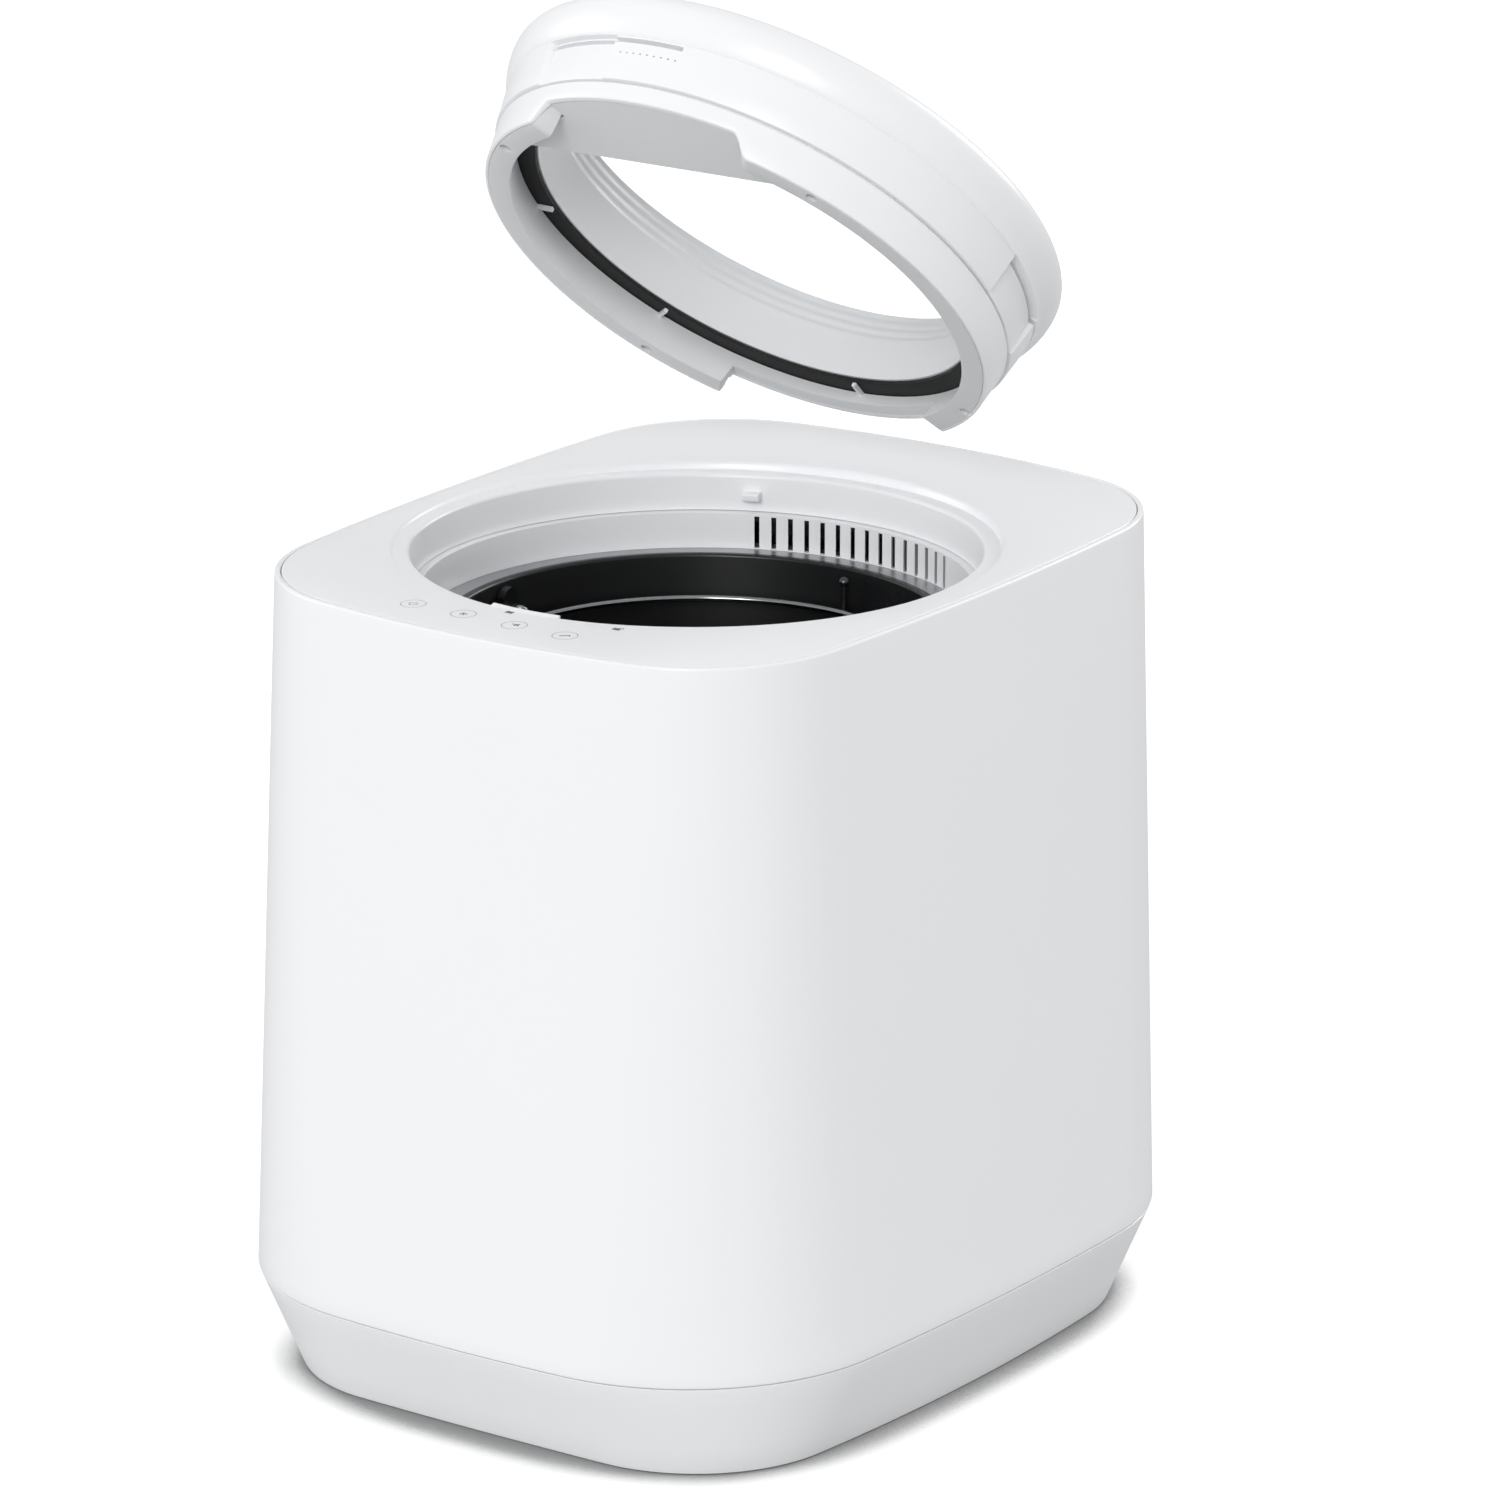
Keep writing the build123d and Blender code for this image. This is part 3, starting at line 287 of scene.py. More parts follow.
# Outlines of the housing: four shallow arcs with rounded corners, widest at the seam line,
# narrower at the foot and at the sloping top.
def outline(half_width, half_depth, corner, front_bow, side_bow):
    """Points and outward normals, counterclockwise from the right side."""
    side_x, front_y = half_width - side_bow, half_depth - front_bow
    x, y = half_width - corner, half_depth - corner
    for _ in range(40):
        y = front_y + sqrt((front_bow - corner) ** 2 - x**2)
        x = side_x + sqrt((side_bow - corner) ** 2 - y**2)
    first, second = atan2(y, x - side_x), atan2(y - front_y, x)
    quarter = []
    for start, end, cx, cy, radius, count in (
        (0.0, first, side_x, 0.0, side_bow, 12),
        (first, second, x, y, corner, 28),
        (second, pi / 2, 0.0, front_y, front_bow, 12),
    ):
        for step in range(count):
            a = start + (end - start) * step / count
            quarter.append((cx + radius * cos(a), cy + radius * sin(a), cos(a), sin(a)))
    quarter.append((0.0, half_depth, 0.0, 1.0))
    half = quarter + [(-px, py, -nx, ny) for px, py, nx, ny in reversed(quarter[1:-1])]
    half.append((-half_width, 0.0, -1.0, 0.0))
    return half + [(px, -py, nx, -ny) for px, py, nx, ny in reversed(half[1:-1])]


foot_line = outline(127.1, 154.6, 64.5, 2219.0, 1025.0)
seam_line = outline(144.3, 176.3, 91.0, 895.0, 1510.0)
top_line = outline(133.0, 164.2, 66.0, 460.0, 1364.0)
foot_height, seam_height, seam_gap, top_height = 2.0, 42.0, 0.3, 330.0
wall_thick = 2.6
screw_columns = [(x, y) for x in (-112.3, 112.3) for y in (-60.0, 60.0)]
set_back, slope, deck_middle = 3.0, 0.016, 330.048


def plate(y):
    """Height of the sloping top, which rises 1.6 mm in 100 towards the rear."""
    return deck_middle + slope * (y - set_back)


def top_place(x, y):
    """Point of the sloping top, which sits a little further back than the foot."""
    return Vector((x, y + set_back, plate(y + set_back)))


def shell_ring(share, inset, drop=0.0):
    """Ring of the upper housing between seam (0) and top (1), moved inwards and down."""
    ring = []
    for (sx, sy, sa, sb), (tx, ty, ta, tb) in zip(seam_line, top_line):
        low = Vector((sx - sa * inset, sy - sb * inset, seam_height + seam_gap))
        high = top_place(tx - ta * inset, ty - tb * inset)
        spot = low.lerp(high, share)
        ring.append((spot.x, spot.y, spot.z - drop))
    return ring


# Outer shell: one tapered injection-moulded wall with a rounded rim round the deck, a ledge
# below it, four screw columns inside and openings for filter cassette and mains inlet.
shell_height = top_height - seam_height - seam_gap
foot_edge = ((wall_thick, 0.0), (0.9, 0.0), (0.45, 0.12), (0.12, 0.45), (0.0, 0.9))
rings = [shell_ring(rise / shell_height, inset) for inset, rise in foot_edge]
rings += [shell_ring(share, 0.0) for share in (0.02, 0.25, 0.5, 0.75, 0.98)]
rim_rounding, rim_steps = 1.1, 6
for step in range(rim_steps + 1):
    a = pi / 2 * step / rim_steps
    rings.append(shell_ring(1.0, rim_rounding * (1 - cos(a)), rim_rounding * (1 - sin(a))))
rim_width, ledge_reach, ledge_drop = 2.4, 7.6, 2.9
inner_edge = ((2.0, 0.0), (2.28, 0.12), (rim_width, 0.4), (rim_width, ledge_drop))
ledge_bottom = ledge_drop + wall_thick
ledge = ((ledge_reach, ledge_drop), (ledge_reach, ledge_bottom), (wall_thick, ledge_bottom))
rings += [shell_ring(1.0, inset, drop) for inset, drop in (*inner_edge, *ledge)]
outer_shell = solid("outer_shell_dressed", *skin(rings), white_abs)
filter_opening = block((-48.4, 130.0, 111.6), (48.4, 230.0, 192.4))
inlet_opening = block((25.6, 130.0, 55.6), (54.4, 230.0, 76.4))
combine(outer_shell, [filter_opening, inlet_opening])
column_radius, column_bottom, column_top = 6.5, 20.0, 292.0
columns = [cutter(column_radius, column_bottom, column_top, plain, x, y) for x, y in screw_columns]
combine(outer_shell, columns, "UNION")
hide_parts("outer_shell")
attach(outer_shell, "body")

# Deck: flat sloping plate inside the rim with a level dish round the mouth that fades out at
# the front, and a short neck below; moulded in the same white.
deck_gap, deck_thick, dish_height = 0.35, 2.6, 328.3
neck_radius, neck_rounding, neck_bottom, deck_bottom = 112.5, 1.5, 313.3, 321.3


def dish(y):
    """Height of the level dish, or of the plate where that is lower."""
    return min(plate(y), dish_height)


def dish_edge(share):
    """Surface between the dish (0) and the plate (1)."""
    return lambda y: dish(y) + (plate(y) - dish(y)) * sin(pi / 2 * share)


def edge_ring(inset, drop):
    """Ring along the outer edge of the deck."""
    ring = []
    for px, py, nx, ny in top_line:
        reach = rim_width + deck_gap + inset
        spot = top_place(px - nx * reach, py - ny * reach)
        ring.append((spot.x, spot.y, spot.z - drop))
    return ring


bearings = [atan2(y + mouth_forward, x) for x, y, _ in edge_ring(0.0, 0.0)]


def deck_ring(radius, height, drop=0.0):
    """Ring round the mouth; the height is a number or a surface of the deck."""
    ring = []
    for a in bearings:
        x, y = radius * cos(a), radius * sin(a) - mouth_forward
        ring.append((x, y, (height(y) if callable(height) else height) - drop))
    return ring


rings = [deck_ring(neck_radius, neck_bottom), deck_ring(neck_radius + 0.05, 314.0)]
rings.append(deck_ring(neck_radius + 1.0, 326.4))
for step in range(6):
    a = pi / 2 * step / 5
    radius = neck_radius + 1.05 + neck_rounding * (1 - cos(a))
    rings.append(deck_ring(radius, dish, neck_rounding * (1 - sin(a))))
dish_radius, dish_slope = 120.3, 1.6
rings += [deck_ring(radius, dish) for radius in (117.0, 119.6, dish_radius)]
for share in (0.15, 0.5, 0.85, 1.0):
    rings.append(deck_ring(dish_radius + dish_slope * share**1.5, dish_edge(share)))
rings.append(deck_ring(123.5, plate))
outer_edge = ((0.6, 0.0), (0.3, 0.08), (0.08, 0.3), (0.0, 0.6), (0.0, deck_thick))
rings += [edge_ring(inset, drop) for inset, drop in outer_edge]
rings += [deck_ring(124.0, plate, deck_thick), deck_ring(124.0, deck_bottom)]
rings += [deck_ring(116.0, deck_bottom), deck_ring(116.0, neck_bottom)]
deck = solid("deck_dressed", *skin(rings), white_abs, 40)
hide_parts("deck")
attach(deck, "body")

# Stop pad: low blended rise of the deck at the front edge of the mouth.
pad_section = section(
    (112.7, 327.0, 0.3), (116.4, 327.0, 0.0), (116.4, 327.9, 0.0),
    (114.9, 328.25, 2.0), (113.6, 328.8, 1.5), (112.7, 328.8, 0.4),
)
stop_pad = curved("deck_stop_pad", pad_section, -97.5, -81.5, 32, mouth, white_abs)
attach(stop_pad, "body")


# Base tray: bevelled pan under the shell, moulded in the same white and screwed on from below,
# with posts for shell, gearbox and board.
def tray_ring(height, inset):
    """Ring of the tray between its floor and the seam; its lip hangs a little lower."""
    share = (height - foot_height) / (seam_height - foot_height)
    ring = []
    for (fx, fy, fa, fb), (sx, sy, sa, sb) in zip(foot_line, seam_line):
        low = Vector((fx - fa * inset, fy - fb * inset, height))
        high = Vector((sx - sa * (seam_gap + inset), sy - sb * (seam_gap + inset), height))
        ring.append(tuple(low.lerp(high, share)))
    return ring


floor_height = 5.0
lip = ((foot_height, 3.4), (0.4, 3.0), (0.3, 0.9), (0.55, 0.2), (1.3, 0.0))
bevel = [(height, 0.0) for height in (12.0, 22.0, 32.0, 41.2)]
upper_edge = ((41.75, 0.1), (seam_height, 0.5), (seam_height, wall_thick), (floor_height, wall_thick))
tray_rings = [tray_ring(height, inset) for height, inset in (*lip, *bevel, *upper_edge)]
base_tray = solid("base_tray_dressed", *capped(tray_rings), white_abs)
posts = [cutter(8.0, 4.5, 19.7, plain, x, y) for x, y in screw_columns]
gearbox_posts = ((-35, -38), (35, -38), (-30, 62), (30, 62))
board_posts = ((-50, -132), (-50, -74), (50, -132), (50, -74))
posts += [cutter(5.0, 4.5, 60.0, plain, x, y) for x, y in gearbox_posts]
posts += [cutter(3.0, 4.5, 14.0, plain, x, y) for x, y in board_posts]
combine(base_tray, posts, "UNION")
head_radius, shank_radius = 4.5, 2.3
holes = [cutter(head_radius, 1.0, 6.2, plain, x, y) for x, y in screw_columns]
holes += [cutter(shank_radius, 1.0, 22.0, plain, x, y) for x, y in screw_columns]
combine(base_tray, holes)
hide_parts("base_tray")
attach(base_tray, "body")

# Feet and base screws: black rubber pads and steel screws under the tray.
black_rubber = plastic("black_silicone_rubber", "#0d0d0e", 0.62, grain=0.2)
dress(black_rubber, "feet")
steel = metal("stainless_steel", "#b4b6b8", 0.3)
dress(steel, "base_screws")

# Bucket: pressed steel pot with black non-stick coating, rolled rim, hub for the stirrer shaft.
nonstick = plastic("nonstick_coating", "#101113", 0.34, grain=0.25)
bucket_foot, bucket_floor, rim_top, rim_radius = 140.0, 144.0, 298.8, 100.6
bush_radius, hub_radius, hub_top = 10.05, 14.0, 158.0
underside = ((bush_radius, 142.0, 0.3), (86.6, 142.0, 1.0), (87.0, bucket_foot, 0.6))
outside = ((91.0, bucket_foot, 1.0), (94.0, 143.0, 1.5), (98.5, 296.0, 0.8), (rim_radius, 296.6, 0.9))
inside = ((rim_radius, rim_top, 1.0), (96.9, rim_top, 1.2), (92.4, bucket_floor, 4.0))
hub = ((hub_radius, bucket_floor, 2.0), (hub_radius, hub_top, 1.0), (bush_radius, hub_top, 0.3))
bucket_section = section(*underside, *outside, *inside, *hub, steps=5)
bucket = turned("bucket_dressed", bucket_section, mouth, nonstick, 144)
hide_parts("bucket")
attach(bucket, "bucket_body")

# Stirrer, shafts and bearing in steel, the crushing post and the motor in oiled steel, and the
# ears of the bucket under the same coating as its wall.
dress(steel, "stirrer", "drive_shaft", "drive_dog", "idler_axle", "motor_shaft", "shaft_bearing")
dark_steel = metal("oiled_steel", "#56585a", 0.32)
dress(dark_steel, "crushing_post", "motor_can")
dress(nonstick, "bucket_ears")

# Bail handle: one length of steel wire bent to a bow; its ends turn outwards into the two
# ears, thinned there, and step down so that the bow lies level below the rim of the bucket.
wire_radius, wire_in_ear, wire_sides = 1.35, 1.2, 14
bow_radius, corner, ear_height, drop, drop_run = 86.8, 2.5, 288.5, 5.6, 7.0
bow = [(95.9, 0.0), (92.5, 0.0), (bow_radius + corner, 0.0)]
for a in range(15, 91, 15):
    bow.append((bow_radius + corner * (1 - sin(radians(a))), corner * (1 - cos(radians(a)))))
bow += [(bow_radius * cos(radians(a)), bow_radius * sin(radians(a))) for a in range(4, 90, 2)]
bow = bow + [(0.0, bow_radius)] + [(-u, v) for u, v in reversed(bow)]
rings = []
for k, (u, v) in enumerate(bow):
    ahead, back = bow[min(k + 1, len(bow) - 1)], bow[max(k - 1, 0)]
    run = Vector((ahead[0] - back[0], ahead[1] - back[1])).normalized()
    middle = ear_height - drop * ease(v / drop_run)
    thick = wire_in_ear if abs(u) > 90.0 else wire_radius
    ring = []
    for i in range(wire_sides):
        a = 2 * pi * i / wire_sides
        side, up = thick * cos(a), thick * sin(a)
        ring.append(mouth(u - run.y * side, v + run.x * side, middle + up))
    rings.append(ring)
handle = solid("handle_dressed", *capped(rings), metal("polished_steel", "#9a9c9e", 0.16), 50)
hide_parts("bucket_handle")
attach(handle, "handle")

# Lining of the mouth: moulded plastic ring hung under the neck of the deck, with upright air
# slots at the rear that widen behind the face.
liner_white = plastic("liner_white_abs", "#e9eaec", 0.36)
liner_bottom, liner_top, liner_face, liner_back, collar_radius = 298.0, 313.0, 109.1, 111.1, 118.6
liner_section = section(
    (liner_face, liner_bottom, 0.25), (liner_back, liner_bottom, 0.2), (liner_back, 311.2, 0.0),
    (collar_radius, 311.2, 0.2), (collar_radius, liner_top, 0.0), (liner_face, liner_top, 0.2),
)
liner = turned("chamber_liner_dressed", liner_section, mouth, liner_white, 144)
slot_count, slot_start, slot_pitch = 15, 60.7, 3.75
flare = ((108.6, -0.8), (108.6, 0.8), (112.5, 2.7), (112.5, -2.7))
slots = [prism(flare, 298.5, 311.9, slot_start + slot_pitch * k, mouth) for k in range(slot_count)]
combine(liner, [solid("tool", points, faces, None) for points, faces in slots])
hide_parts("chamber_liner")
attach(liner, "body")

# Heating pot under the lining: cast aluminium with a flat flange that shows round the bucket,
# and the heater disc cast of the same. The filter's cover is moulded like the shell.
aluminium = metal("cast_aluminium", "#bfc1c3", 0.42, (60.0, 60.0, 60.0))
dress(aluminium, "heating_pot", "heater_plate")
dress(white_abs, "filter_cover")

# Lid catch: small plastic tongue that stands in from the neck and holds the turned lid.
tongue = section((107.7, 318.3, 0.5), (113.4, 318.3, 0.0), (113.4, 321.3, 0.0), (107.7, 321.3, 0.5))
lid_catch = curved("lid_catch_dressed", tongue, 112.8, 116.3, 6, mouth, white_abs)
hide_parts("lid_catch")
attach(lid_catch, "body")

# Lid: everything is turned about its own tilted axis, heights from the bottom of the skirt.
lid_tilt, lid_back, lid_height = radians(45.8), 17.0, 431.7
notch, rear_step = (-115, -63), (60, 120)
notch_soft, step_soft = 5.0, 1.0


def lid(x, y, h):
    """Place of a point of the lid, held open above the mouth."""
    forward, up = y * cos(lid_tilt) + h * sin(lid_tilt), h * cos(lid_tilt) - y * sin(lid_tilt)
    return (x, lid_back + forward, lid_height + up)


def span(angle, start, end, soft):
    """1 between two angles and 0 outside, with a smooth step of the given width."""
    off = abs((angle - (start + end) / 2 + 180) % 360 - 180)
    return ease(((end - start) / 2 - off) / soft + 0.5)


def lid_base(angle):
    """Height of the lower edge: low notch at the front, step at the rear."""
    return max(8.3 * span(angle, *notch, notch_soft), 10.0 * span(angle, *rear_step, step_soft))


def bend(first, middle, last, steps):
    """Points of the circle through three points."""
    (ax, ay), (bx, by), (cx, cy) = first, middle, last
    a, b, c = ax * ax + ay * ay, bx * bx + by * by, cx * cx + cy * cy
    d = 2 * (ax * (by - cy) + bx * (cy - ay) + cx * (ay - by))
    ux = (a * (by - cy) + b * (cy - ay) + c * (ay - by)) / d
    uy = (a * (cx - bx) + b * (ax - cx) + c * (bx - ax)) / d
    radius = hypot(ax - ux, ay - uy)
    low, high = atan2(ay - uy, ax - ux), atan2(cy - uy, cx - ux)
    turns = [low + (high - low) * i / steps for i in range(steps + 1)]
    return [(ux + radius * cos(t), uy + radius * sin(t)) for t in turns]


# Lid shell: skirt that drops into the mouth, a wider band with three grip recesses and rows of
# nine small pits, and a rounded crown round the window; injection-moulded in white. A groove
# beside the rear step takes the catch when the lid is turned.
skirt_height, band_height, skirt_inside = 16.2, 18.4, 107.4
crown = bend((116.6, 35.6), (118.9, 41.0), (119.7, 46.6), 6)
crown += bend((119.7, 46.6), (117.8, 52.0), (112.5, 54.6), 7)[1:]
grips = ((2, 24.5), (122, 20.0), (242, 20.0))
slot_inset, slot_past = 0.2, 16


def skirt(h):
    """Outer radius of the skirt, which widens upwards."""
    return 109.0 + 2.3 * h / skirt_height


def lid_side(angle):
    """Section of the lid shell at an angle."""
    base = lid_base(angle)
    pocket = max(span(angle, start, start + length, 0.5) for start, length in grips)
    slot = max(
        span(angle, start + slot_inset, start + length + slot_past, 0.5) for start, length in grips
    )
    slot_floor = 112.0 - 1.4 * pocket

    def band(h):
        """Outer radius of the band, less in a grip recess."""
        share = (h - skirt_height) / band_height
        return (112.4 + 3.2 * share) * (1 - pocket) + (111.3 + 1.7 * share) * pocket

    def slotted(h):
        """Radius of the band, or of the slot's floor where there is one."""
        return band(h) * (1 - slot) + slot_floor * slot

    middle = base * 0.4 + 8.0
    side = [(skirt_inside, base + 0.25), (skirt_inside + 0.25, base), (skirt(base) - 1.1, base)]
    side += [(skirt(base) - 0.5, base + 0.05), (skirt(base) - 0.15, base + 0.3)]
    side += [(skirt(base + 0.9), base + 0.9), (skirt(middle), middle), (skirt(14.9), 14.9)]
    side += [(skirt(15.1) - 0.25, 15.2), (109.5, 15.3), (109.5, skirt_height)]
    side += [(band(skirt_height) - 0.5, skirt_height), (band(skirt_height) - 0.1, 16.32), (band(16.7), 16.7)]
    side += [(band(24.0), 24.0), (band(31.2), 31.2), (band(31.55), 31.55), (slotted(31.6), 31.65)]
    side += [(slotted(33.4), 33.35), (band(33.4), 33.4), (band(33.7), 33.7)]
    side += [(band(33.8) - 0.2, 33.85), (band(34.0) - 0.2, 34.15), (115.5, 34.3), (115.9, 34.6)]
    side += crown
    side += [(107.3, 54.1), (106.4, 53.9), (106.0, 53.4), (106.0, 49.9), (103.4, 49.9), (103.4, 46.0)]
    side += [(110.5, 46.0), (110.0, 44.0), (skirt_inside, 34.0)]
    return side


turns = {round(1.5 * i - 180, 3) for i in range(240)}
for start, length in grips:
    for end in (start, start + slot_inset, start + length, start + length + slot_past):
        turns |= {round((end + d + 180) % 360 - 180, 3) for d in (-0.25, -0.12, 0.0, 0.12, 0.25)}
turns |= {round(end + notch_soft * d / 10, 3) for end in notch for d in range(-5, 6)}
turns |= {round(end + step_soft * d / 8, 3) for end in rear_step for d in range(-4, 5)}
turns = sorted(turns)
lid_shell = solid("lid_shell_dressed", *skin(around(turns, lid_side, lid)), white_abs, 38)


pit_count, pit_radius, pit_height, pit_flatness = 9, 0.55, 27.4, 0.6
first_pit, pit_pitch = 2.5, 1.63


def pit_place(a):
    """Turns a tool to point outwards through the band at an angle, and flattens it."""
    return lambda x, y, depth: lid(
        depth * cos(a) - x * sin(a), depth * sin(a) + x * cos(a), pit_height + pit_flatness * y
    )


catch_groove = ((106.8, 4.5), (113.0, 4.5), (113.0, 8.5), (106.8, 8.5))
tools = [curved("tool", catch_groove, 119.5, 136.0, 11, lid, None)]
for start, length in grips:
    for i in range(pit_count):
        a = radians(start + length + first_pit + pit_pitch * i)
        tools.append(cutter(pit_radius, 113.0, 117.0, pit_place(a), 0, 0, 8))
combine(lid_shell, tools)
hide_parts("lid_shell")
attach(lid_shell, "lid")

# Rim ring inside the skirt: the shell's white plastic toned a little darker as painted shade, held
# by four screws in sunk holes, one of which also cuts the skirt.
# Painted shade: the shell's white toned darker, standing in for the shade under the lid.
shade_toned_abs = plastic("shade_toned_white_abs", "#e0e2e4", 0.36)
rim_height, rim_outside = 15.9, 107.3


def rim_side(angle):
    """Section of the rim ring at an angle; in the notch it makes room for the baffle."""
    base = lid_base(angle) + 2.1 * span(angle, *notch, notch_soft)

    def inner(h):
        return 98.0 + 4.8 * h / rim_height

    lower_edge = [(inner(base + 0.7), base + 0.7), (inner(base) + 0.1, base + 0.2), (inner(base) + 0.5, base)]
    return lower_edge + [(rim_outside, base), (rim_outside, rim_height), (inner(rim_height), rim_height)]


seats = ((-45, 104.2), (44.5, 105.6), (139, 104.2), (225, 104.2))
spots = [(r * cos(radians(a)), r * sin(radians(a))) for a, r in seats]
seat_radius, seat_depth = 2.5, 6.6
lid_rim = solid("lid_rim_dressed", *skin(around(turns, rim_side, lid)), shade_toned_abs, 38)
combine(lid_rim, [cutter(seat_radius, -1.0, seat_depth, lid, x, y) for x, y in spots])
combine(lid_shell, [cutter(seat_radius, -1.0, seat_depth, lid, *spots[1])])
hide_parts("lid_rim")
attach(lid_rim, "lid")

# Lid screws: four steel heads at the bottom of the sunk holes, each with a round recess.
head = ((0.9, 5.6), (0.9, 4.8), (1.8, 4.8), (2.2, 5.2), (2.2, seat_depth))
points, faces = [], []
for x, y in spots:
    new_points, new_faces = capped([round_ring(radius, h, lid, x, y, 24) for radius, h in head])
    faces += [tuple(len(points) + i for i in face) for face in new_faces]
    points += new_points
lid_screws = solid("lid_screws_dressed", points, faces, steel)
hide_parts("lid_screws")
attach(lid_screws, "lid")

# Rim tabs: three short ribs of the rim ring that reach in over the seal.
for index, angle in enumerate((88, 140, -177)):
    corners = ((95.4, -0.8), (103.4, -0.8), (103.4, 0.8), (95.4, 0.8))
    tab = solid("rim_tab_%d" % index, *prism(corners, 14.4, 16.05, angle, lid), shade_toned_abs)
    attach(tab, "lid")

# Seal between rim ring and collar, in black silicone. Baffle: flat plate behind the notch in the
# shade-toned white (painted shade), with a straight inner edge; it is wider in the notch itself than beside
# it.
dress(black_rubber, "lid_seal")
notch_radius, beside_radius, baffle_low, baffle_high = 107.2, 99.2, 8.4, 10.3
line = [(notch_radius, a) for a in (-113.6, *range(-112, -65, 2), -64.4)]
line += [(beside_radius, a) for a in (-64.4, *range(-62, -42, 2), -40.9)]
line += [(beside_radius, a) for a in (-139.1, *range(-138, -114, 2), -113.6)]
flat = [(r * cos(radians(a)), r * sin(radians(a))) for r, a in line]
rings = [[lid(x, y, h) for x, y in flat] for h in (baffle_low, baffle_high)]
lid_baffle = solid("lid_baffle_dressed", *capped(rings), shade_toned_abs)
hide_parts("lid_baffle")
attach(lid_baffle, "lid")

# Collar under the window: turned wall in the same shade-toned white (painted shade) with soft
# waves near its upper edge and a flange that is clamped under the crown.
wave_start, wave_rise, wave_length, wave_depth = 37.0, 12.6, 4.2, 0.25
wall = [(94.0, 18.1), (93.9, 36.5)]
for share in [i / 24 for i in range(25)]:
    h = wave_start + wave_rise * share
    wall.append((94.1 + 2.2 * share + wave_depth * cos(2 * pi * (h - 39.0) / wave_length), h))
wall += [(96.5, 49.9), (98.6, 49.9), (98.6, 46.0), (109.2, 46.0), (109.2, 44.0), (98.4, 44.0), (96.0, 18.1)]
lid_collar = turned("lid_collar_dressed", wall, lid, shade_toned_abs, 240, 50)
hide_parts("lid_collar")
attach(lid_collar, "lid")

# Clamp ring over the edge of the window, in the same shade-toned white (painted shade).
window_radius = 105.7
clamp = [(103.4, 52.3), (window_radius, 52.3), (window_radius, 53.5)]
clamp += [(105.4, 53.8), (103.8, 53.8), (103.4, 53.5)]
window_ring = turned("window_ring_dressed", clamp, lid, shade_toned_abs, 240)
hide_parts("window_ring")
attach(window_ring, "lid")

# Window: flat clear sheet of polycarbonate, nearly free of haze, between collar and clamp ring.
clear, tree, shader = new_material("clear_polycarbonate")
place = add_node(tree, "ShaderNodeTexCoord").outputs["Object"]
haze = add_node(tree, "ShaderNodeTexNoise", Vector=place, Scale=30.0, Detail=2.0)
gloss = add_node(tree, "ShaderNodeMapRange", Value=haze.outputs["Fac"], To_Min=0.0, To_Max=0.02)
tree.links.new(gloss.outputs["Result"], shader.inputs["Roughness"])
shader.inputs["Base Color"].default_value = (1.0, 1.0, 1.0, 1.0)
shader.inputs["Transmission Weight"].default_value = 1.0
shader.inputs["IOR"].default_value = 1.2
window_low, window_high = 49.95, 52.25
rings = [round_ring(window_radius, h, lid, steps=240) for h in (window_low, window_high)]
lid_window = solid("lid_window_dressed", *capped(rings), clear)
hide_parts("lid_window")
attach(lid_window, "lid")

# Hidden works: gears, gearbox, fan, duct, filter, boards and inlet in their own materials.
black_nylon = plastic("black_glass_filled_nylon", "#1d1e20", 0.5, grain=0.12)
dress(black_nylon, "carrier_plate", "gearbox_housing", "gearbox_cover", "fan_housing", "fan_rotor")
dress(black_nylon, "exhaust_duct", "filter_bay", "filter_cassette", "power_inlet", "lid_sensor")
dress(black_nylon, "board_parts")
dress(plastic("natural_nylon", "#dcd8cb", 0.45, grain=0.06), "output_gear", "idler_gear")
dress(plastic("mineral_wool", "#c9c4b6", 0.95, grain=0.3, bump=0.0004), "insulation")
dress(plastic("activated_carbon", "#17171a", 0.9, grain=0.5, bump=0.0006), "carbon_core")
dress(plastic("green_solder_mask", "#1c5a34", 0.35, grain=0.15), "main_board", "touch_board")
dress(metal("brass", "#c9a45a", 0.28), "motor_pinion", "inlet_pins", "bucket_bushing")

# Marks on the deck: thin grey pad printing, four ringed touch signs and two padlocks.
ink = plastic("grey_ink", "#66696d", 0.6, grain=0.1)
ink_height = 0.03


def printed(name, strokes):
    """Flat lines on the deck; each stroke is (points, width, closed)."""
    points, faces = [], []
    for path, width, closed in strokes:
        start, count = len(points), len(path)
        for k, (x, y) in enumerate(path):
            before = path[k - 1] if k or closed else path[k]
            after = path[(k + 1) % count] if k + 1 < count or closed else path[k]
            run = Vector((after[0] - before[0], after[1] - before[1])).normalized() * width / 2
            for sign in (-1, 1):
                px, py = x - run.y * sign, y + run.x * sign
                points.append((px, py, plate(py) + ink_height))
        for k in range(count if closed else count - 1):
            a, b = start + 2 * k, start + 2 * ((k + 1) % count)
            faces.append((a, b, b + 1, a + 1))
    made = solid(name, points, faces, ink)
    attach(made, "body")


def arc(x, y, radius, start, end, width, steps=24, closed=False):
    """Stroke along an arc, angles in degrees."""
    turns = [radians(start + (end - start) * i / steps) for i in range(steps + 1)]
    return [(x + radius * cos(t), y + radius * sin(t)) for t in turns], width, closed


def power_sign(x, y):
    return [arc(x, y, 1.7, 125, 415, 0.35), ([(x, y + 0.3), (x, y + 2.3)], 0.35, False)]


def star_sign(x, y):
    arms = [(1.9 * cos(pi / 3 * k), 1.9 * sin(pi / 3 * k)) for k in range(3)]
    return [([(x - u, y - v), (x + u, y + v)], 0.4, False) for u, v in arms]


def leaf_sign(x, y):
    return [arc(x - 0.4, y - 1.6, 2.6, 30, 120, 0.7), arc(x - 1.4, y + 1.6, 2.4, -60, 10, 0.9)]


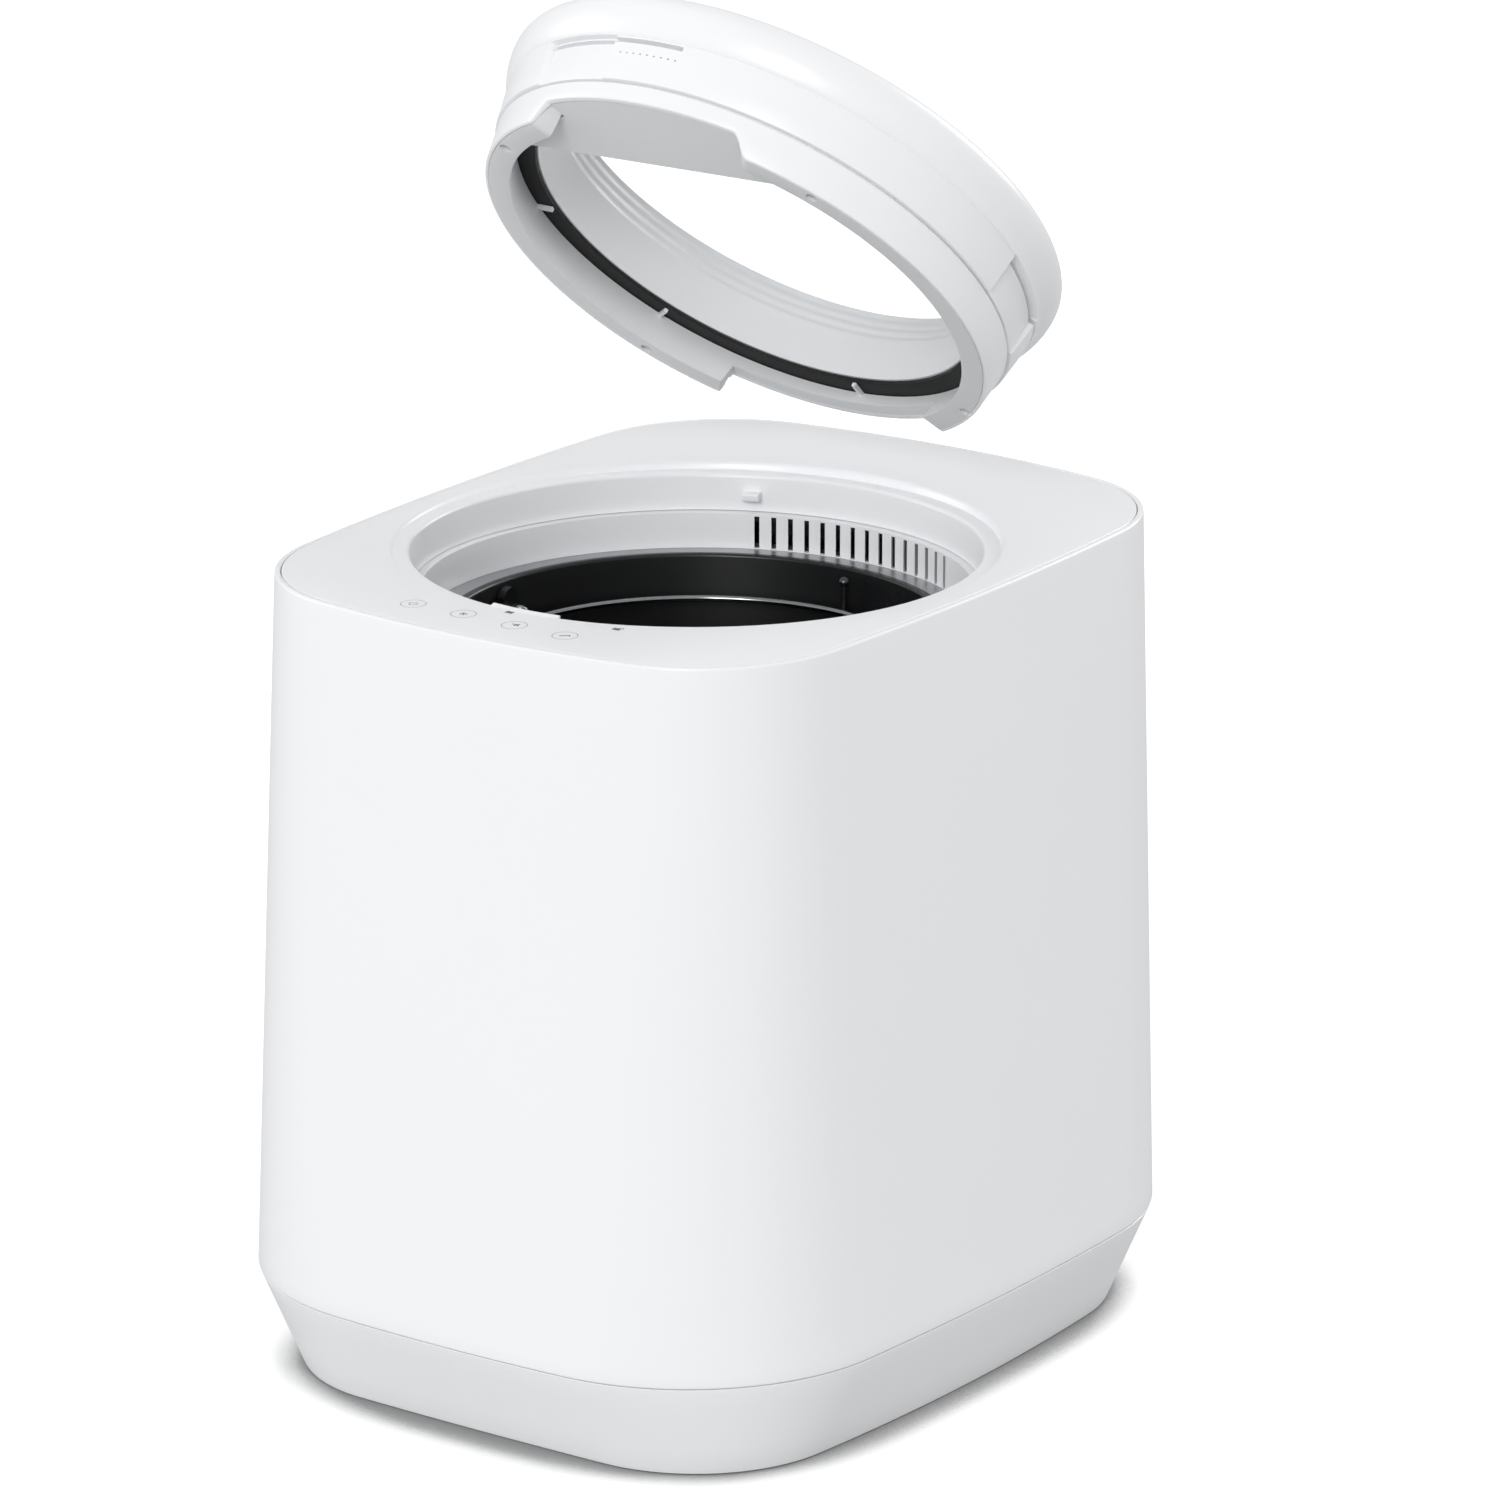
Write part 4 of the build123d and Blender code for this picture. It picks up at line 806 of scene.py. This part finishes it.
def brush_sign(x, y):
    stem = ([(x - 1.6, y - 1.4), (x + 1.6, y + 1.4)], 0.8, False)
    return [stem, arc(x + 0.6, y - 0.6, 1.6, 20, 100, 0.4)]


signs = (
    (power_sign, -41.3, -137.3), (star_sign, -16.9, -137.3),
    (leaf_sign, 8.6, -138.4), (brush_sign, 33.1, -138.7),
)
for index, (sign, x, y) in enumerate(signs):
    printed("touch_sign_%d" % index, [arc(x, y, 5.0, 0, 350, 0.22, 48, True), *sign(x, y)])
for name, x, y, shift in (("lock_closed", -3.4, -125.8, 0.0), ("lock_open", 44.2, -120.8, 1.2)):
    body = ([(x - 1.7, y), (x + 1.7, y)], 2.4, False)
    printed(name, [body, arc(x + shift, y + 1.2, 1.1, 0, 180, 0.4)])

# Floor: pale paper that reads white to the camera, with a painted contact shadow where the object stands
# close.
floor = bpy.data.objects.new("floor", bpy.data.meshes.new("floor"))
floor.data.from_pydata([(-20, -20, 0), (20, -20, 0), (20, 20, 0), (-20, 20, 0)], [], [(0, 1, 2, 3)])
bpy.context.scene.collection.objects.link(floor)
paper, tree, shader = new_material("white_paper")
shader.inputs["Roughness"].default_value = 1.0
shader.inputs["Specular IOR Level"].default_value = 0.0
ray = add_node(tree, "ShaderNodeLightPath")
seen = add_node(tree, "ShaderNodeMath")
seen.operation = "MAXIMUM"
tree.links.new(ray.outputs["Is Camera Ray"], seen.inputs[0])
tree.links.new(ray.outputs["Is Transmission Ray"], seen.inputs[1])
# Painted contact shadow: ambient occlusion lowers the colour the camera sees and takes away the glow near the
# object.
near = add_node(tree, "ShaderNodeAmbientOcclusion", Distance=0.05).outputs["AO"]
painted_contact_shadow = add_node(tree, "ShaderNodeMapRange", Value=near, From_Min=0.36, From_Max=0.48, To_Min=0.3)
tone = add_node(tree, "ShaderNodeMix", Factor=seen.outputs[0], A=0.58, B=painted_contact_shadow.outputs["Result"])
tree.links.new(tone.outputs["Result"], shader.inputs["Base Color"])
glow_outside_painted_shadow = add_node(tree, "ShaderNodeMapRange", Value=near, From_Min=0.38, From_Max=0.62, To_Max=0.27)
glow = add_node(tree, "ShaderNodeMath")
glow.operation = "MULTIPLY"
tree.links.new(seen.outputs[0], glow.inputs[0])
tree.links.new(glow_outside_painted_shadow.outputs["Result"], glow.inputs[1])
shader.inputs["Emission Color"].default_value = (1, 1, 1, 1)
tree.links.new(glow.outputs[0], shader.inputs["Emission Strength"])
floor.data.materials.append(paper)

# Light: even white surroundings and three soft lights, the strongest from the front.
world = bpy.data.worlds.new("studio")
bpy.context.scene.world = world
world.use_nodes = True
background = world.node_tree.nodes["Background"]
background.inputs["Color"].default_value = (1, 1, 1, 1)
background.inputs["Strength"].default_value = 0.7


def sun(name, azimuth, height, strength, angle):
    """Soft distant light from the given side; azimuth 0 is the right, -90 the front."""
    light = bpy.data.lights.new(name, "SUN")
    light.energy, light.angle = strength, radians(angle)
    holder = bpy.data.objects.new(name, light)
    a, e = radians(azimuth), radians(height)
    holder.rotation_mode = "QUATERNION"
    holder.rotation_quaternion = Vector((cos(a) * cos(e), sin(a) * cos(e), sin(e))).to_track_quat("Z", "Y")
    bpy.context.scene.collection.objects.link(holder)


sun("front_softbox", -72, 22, 1.36, 24)
sun("side_softbox", 75, 20, 1.05, 28)
sun("left_softbox", -160, 8, 0.6, 28)
bpy.context.scene.view_settings.view_transform = "Standard"
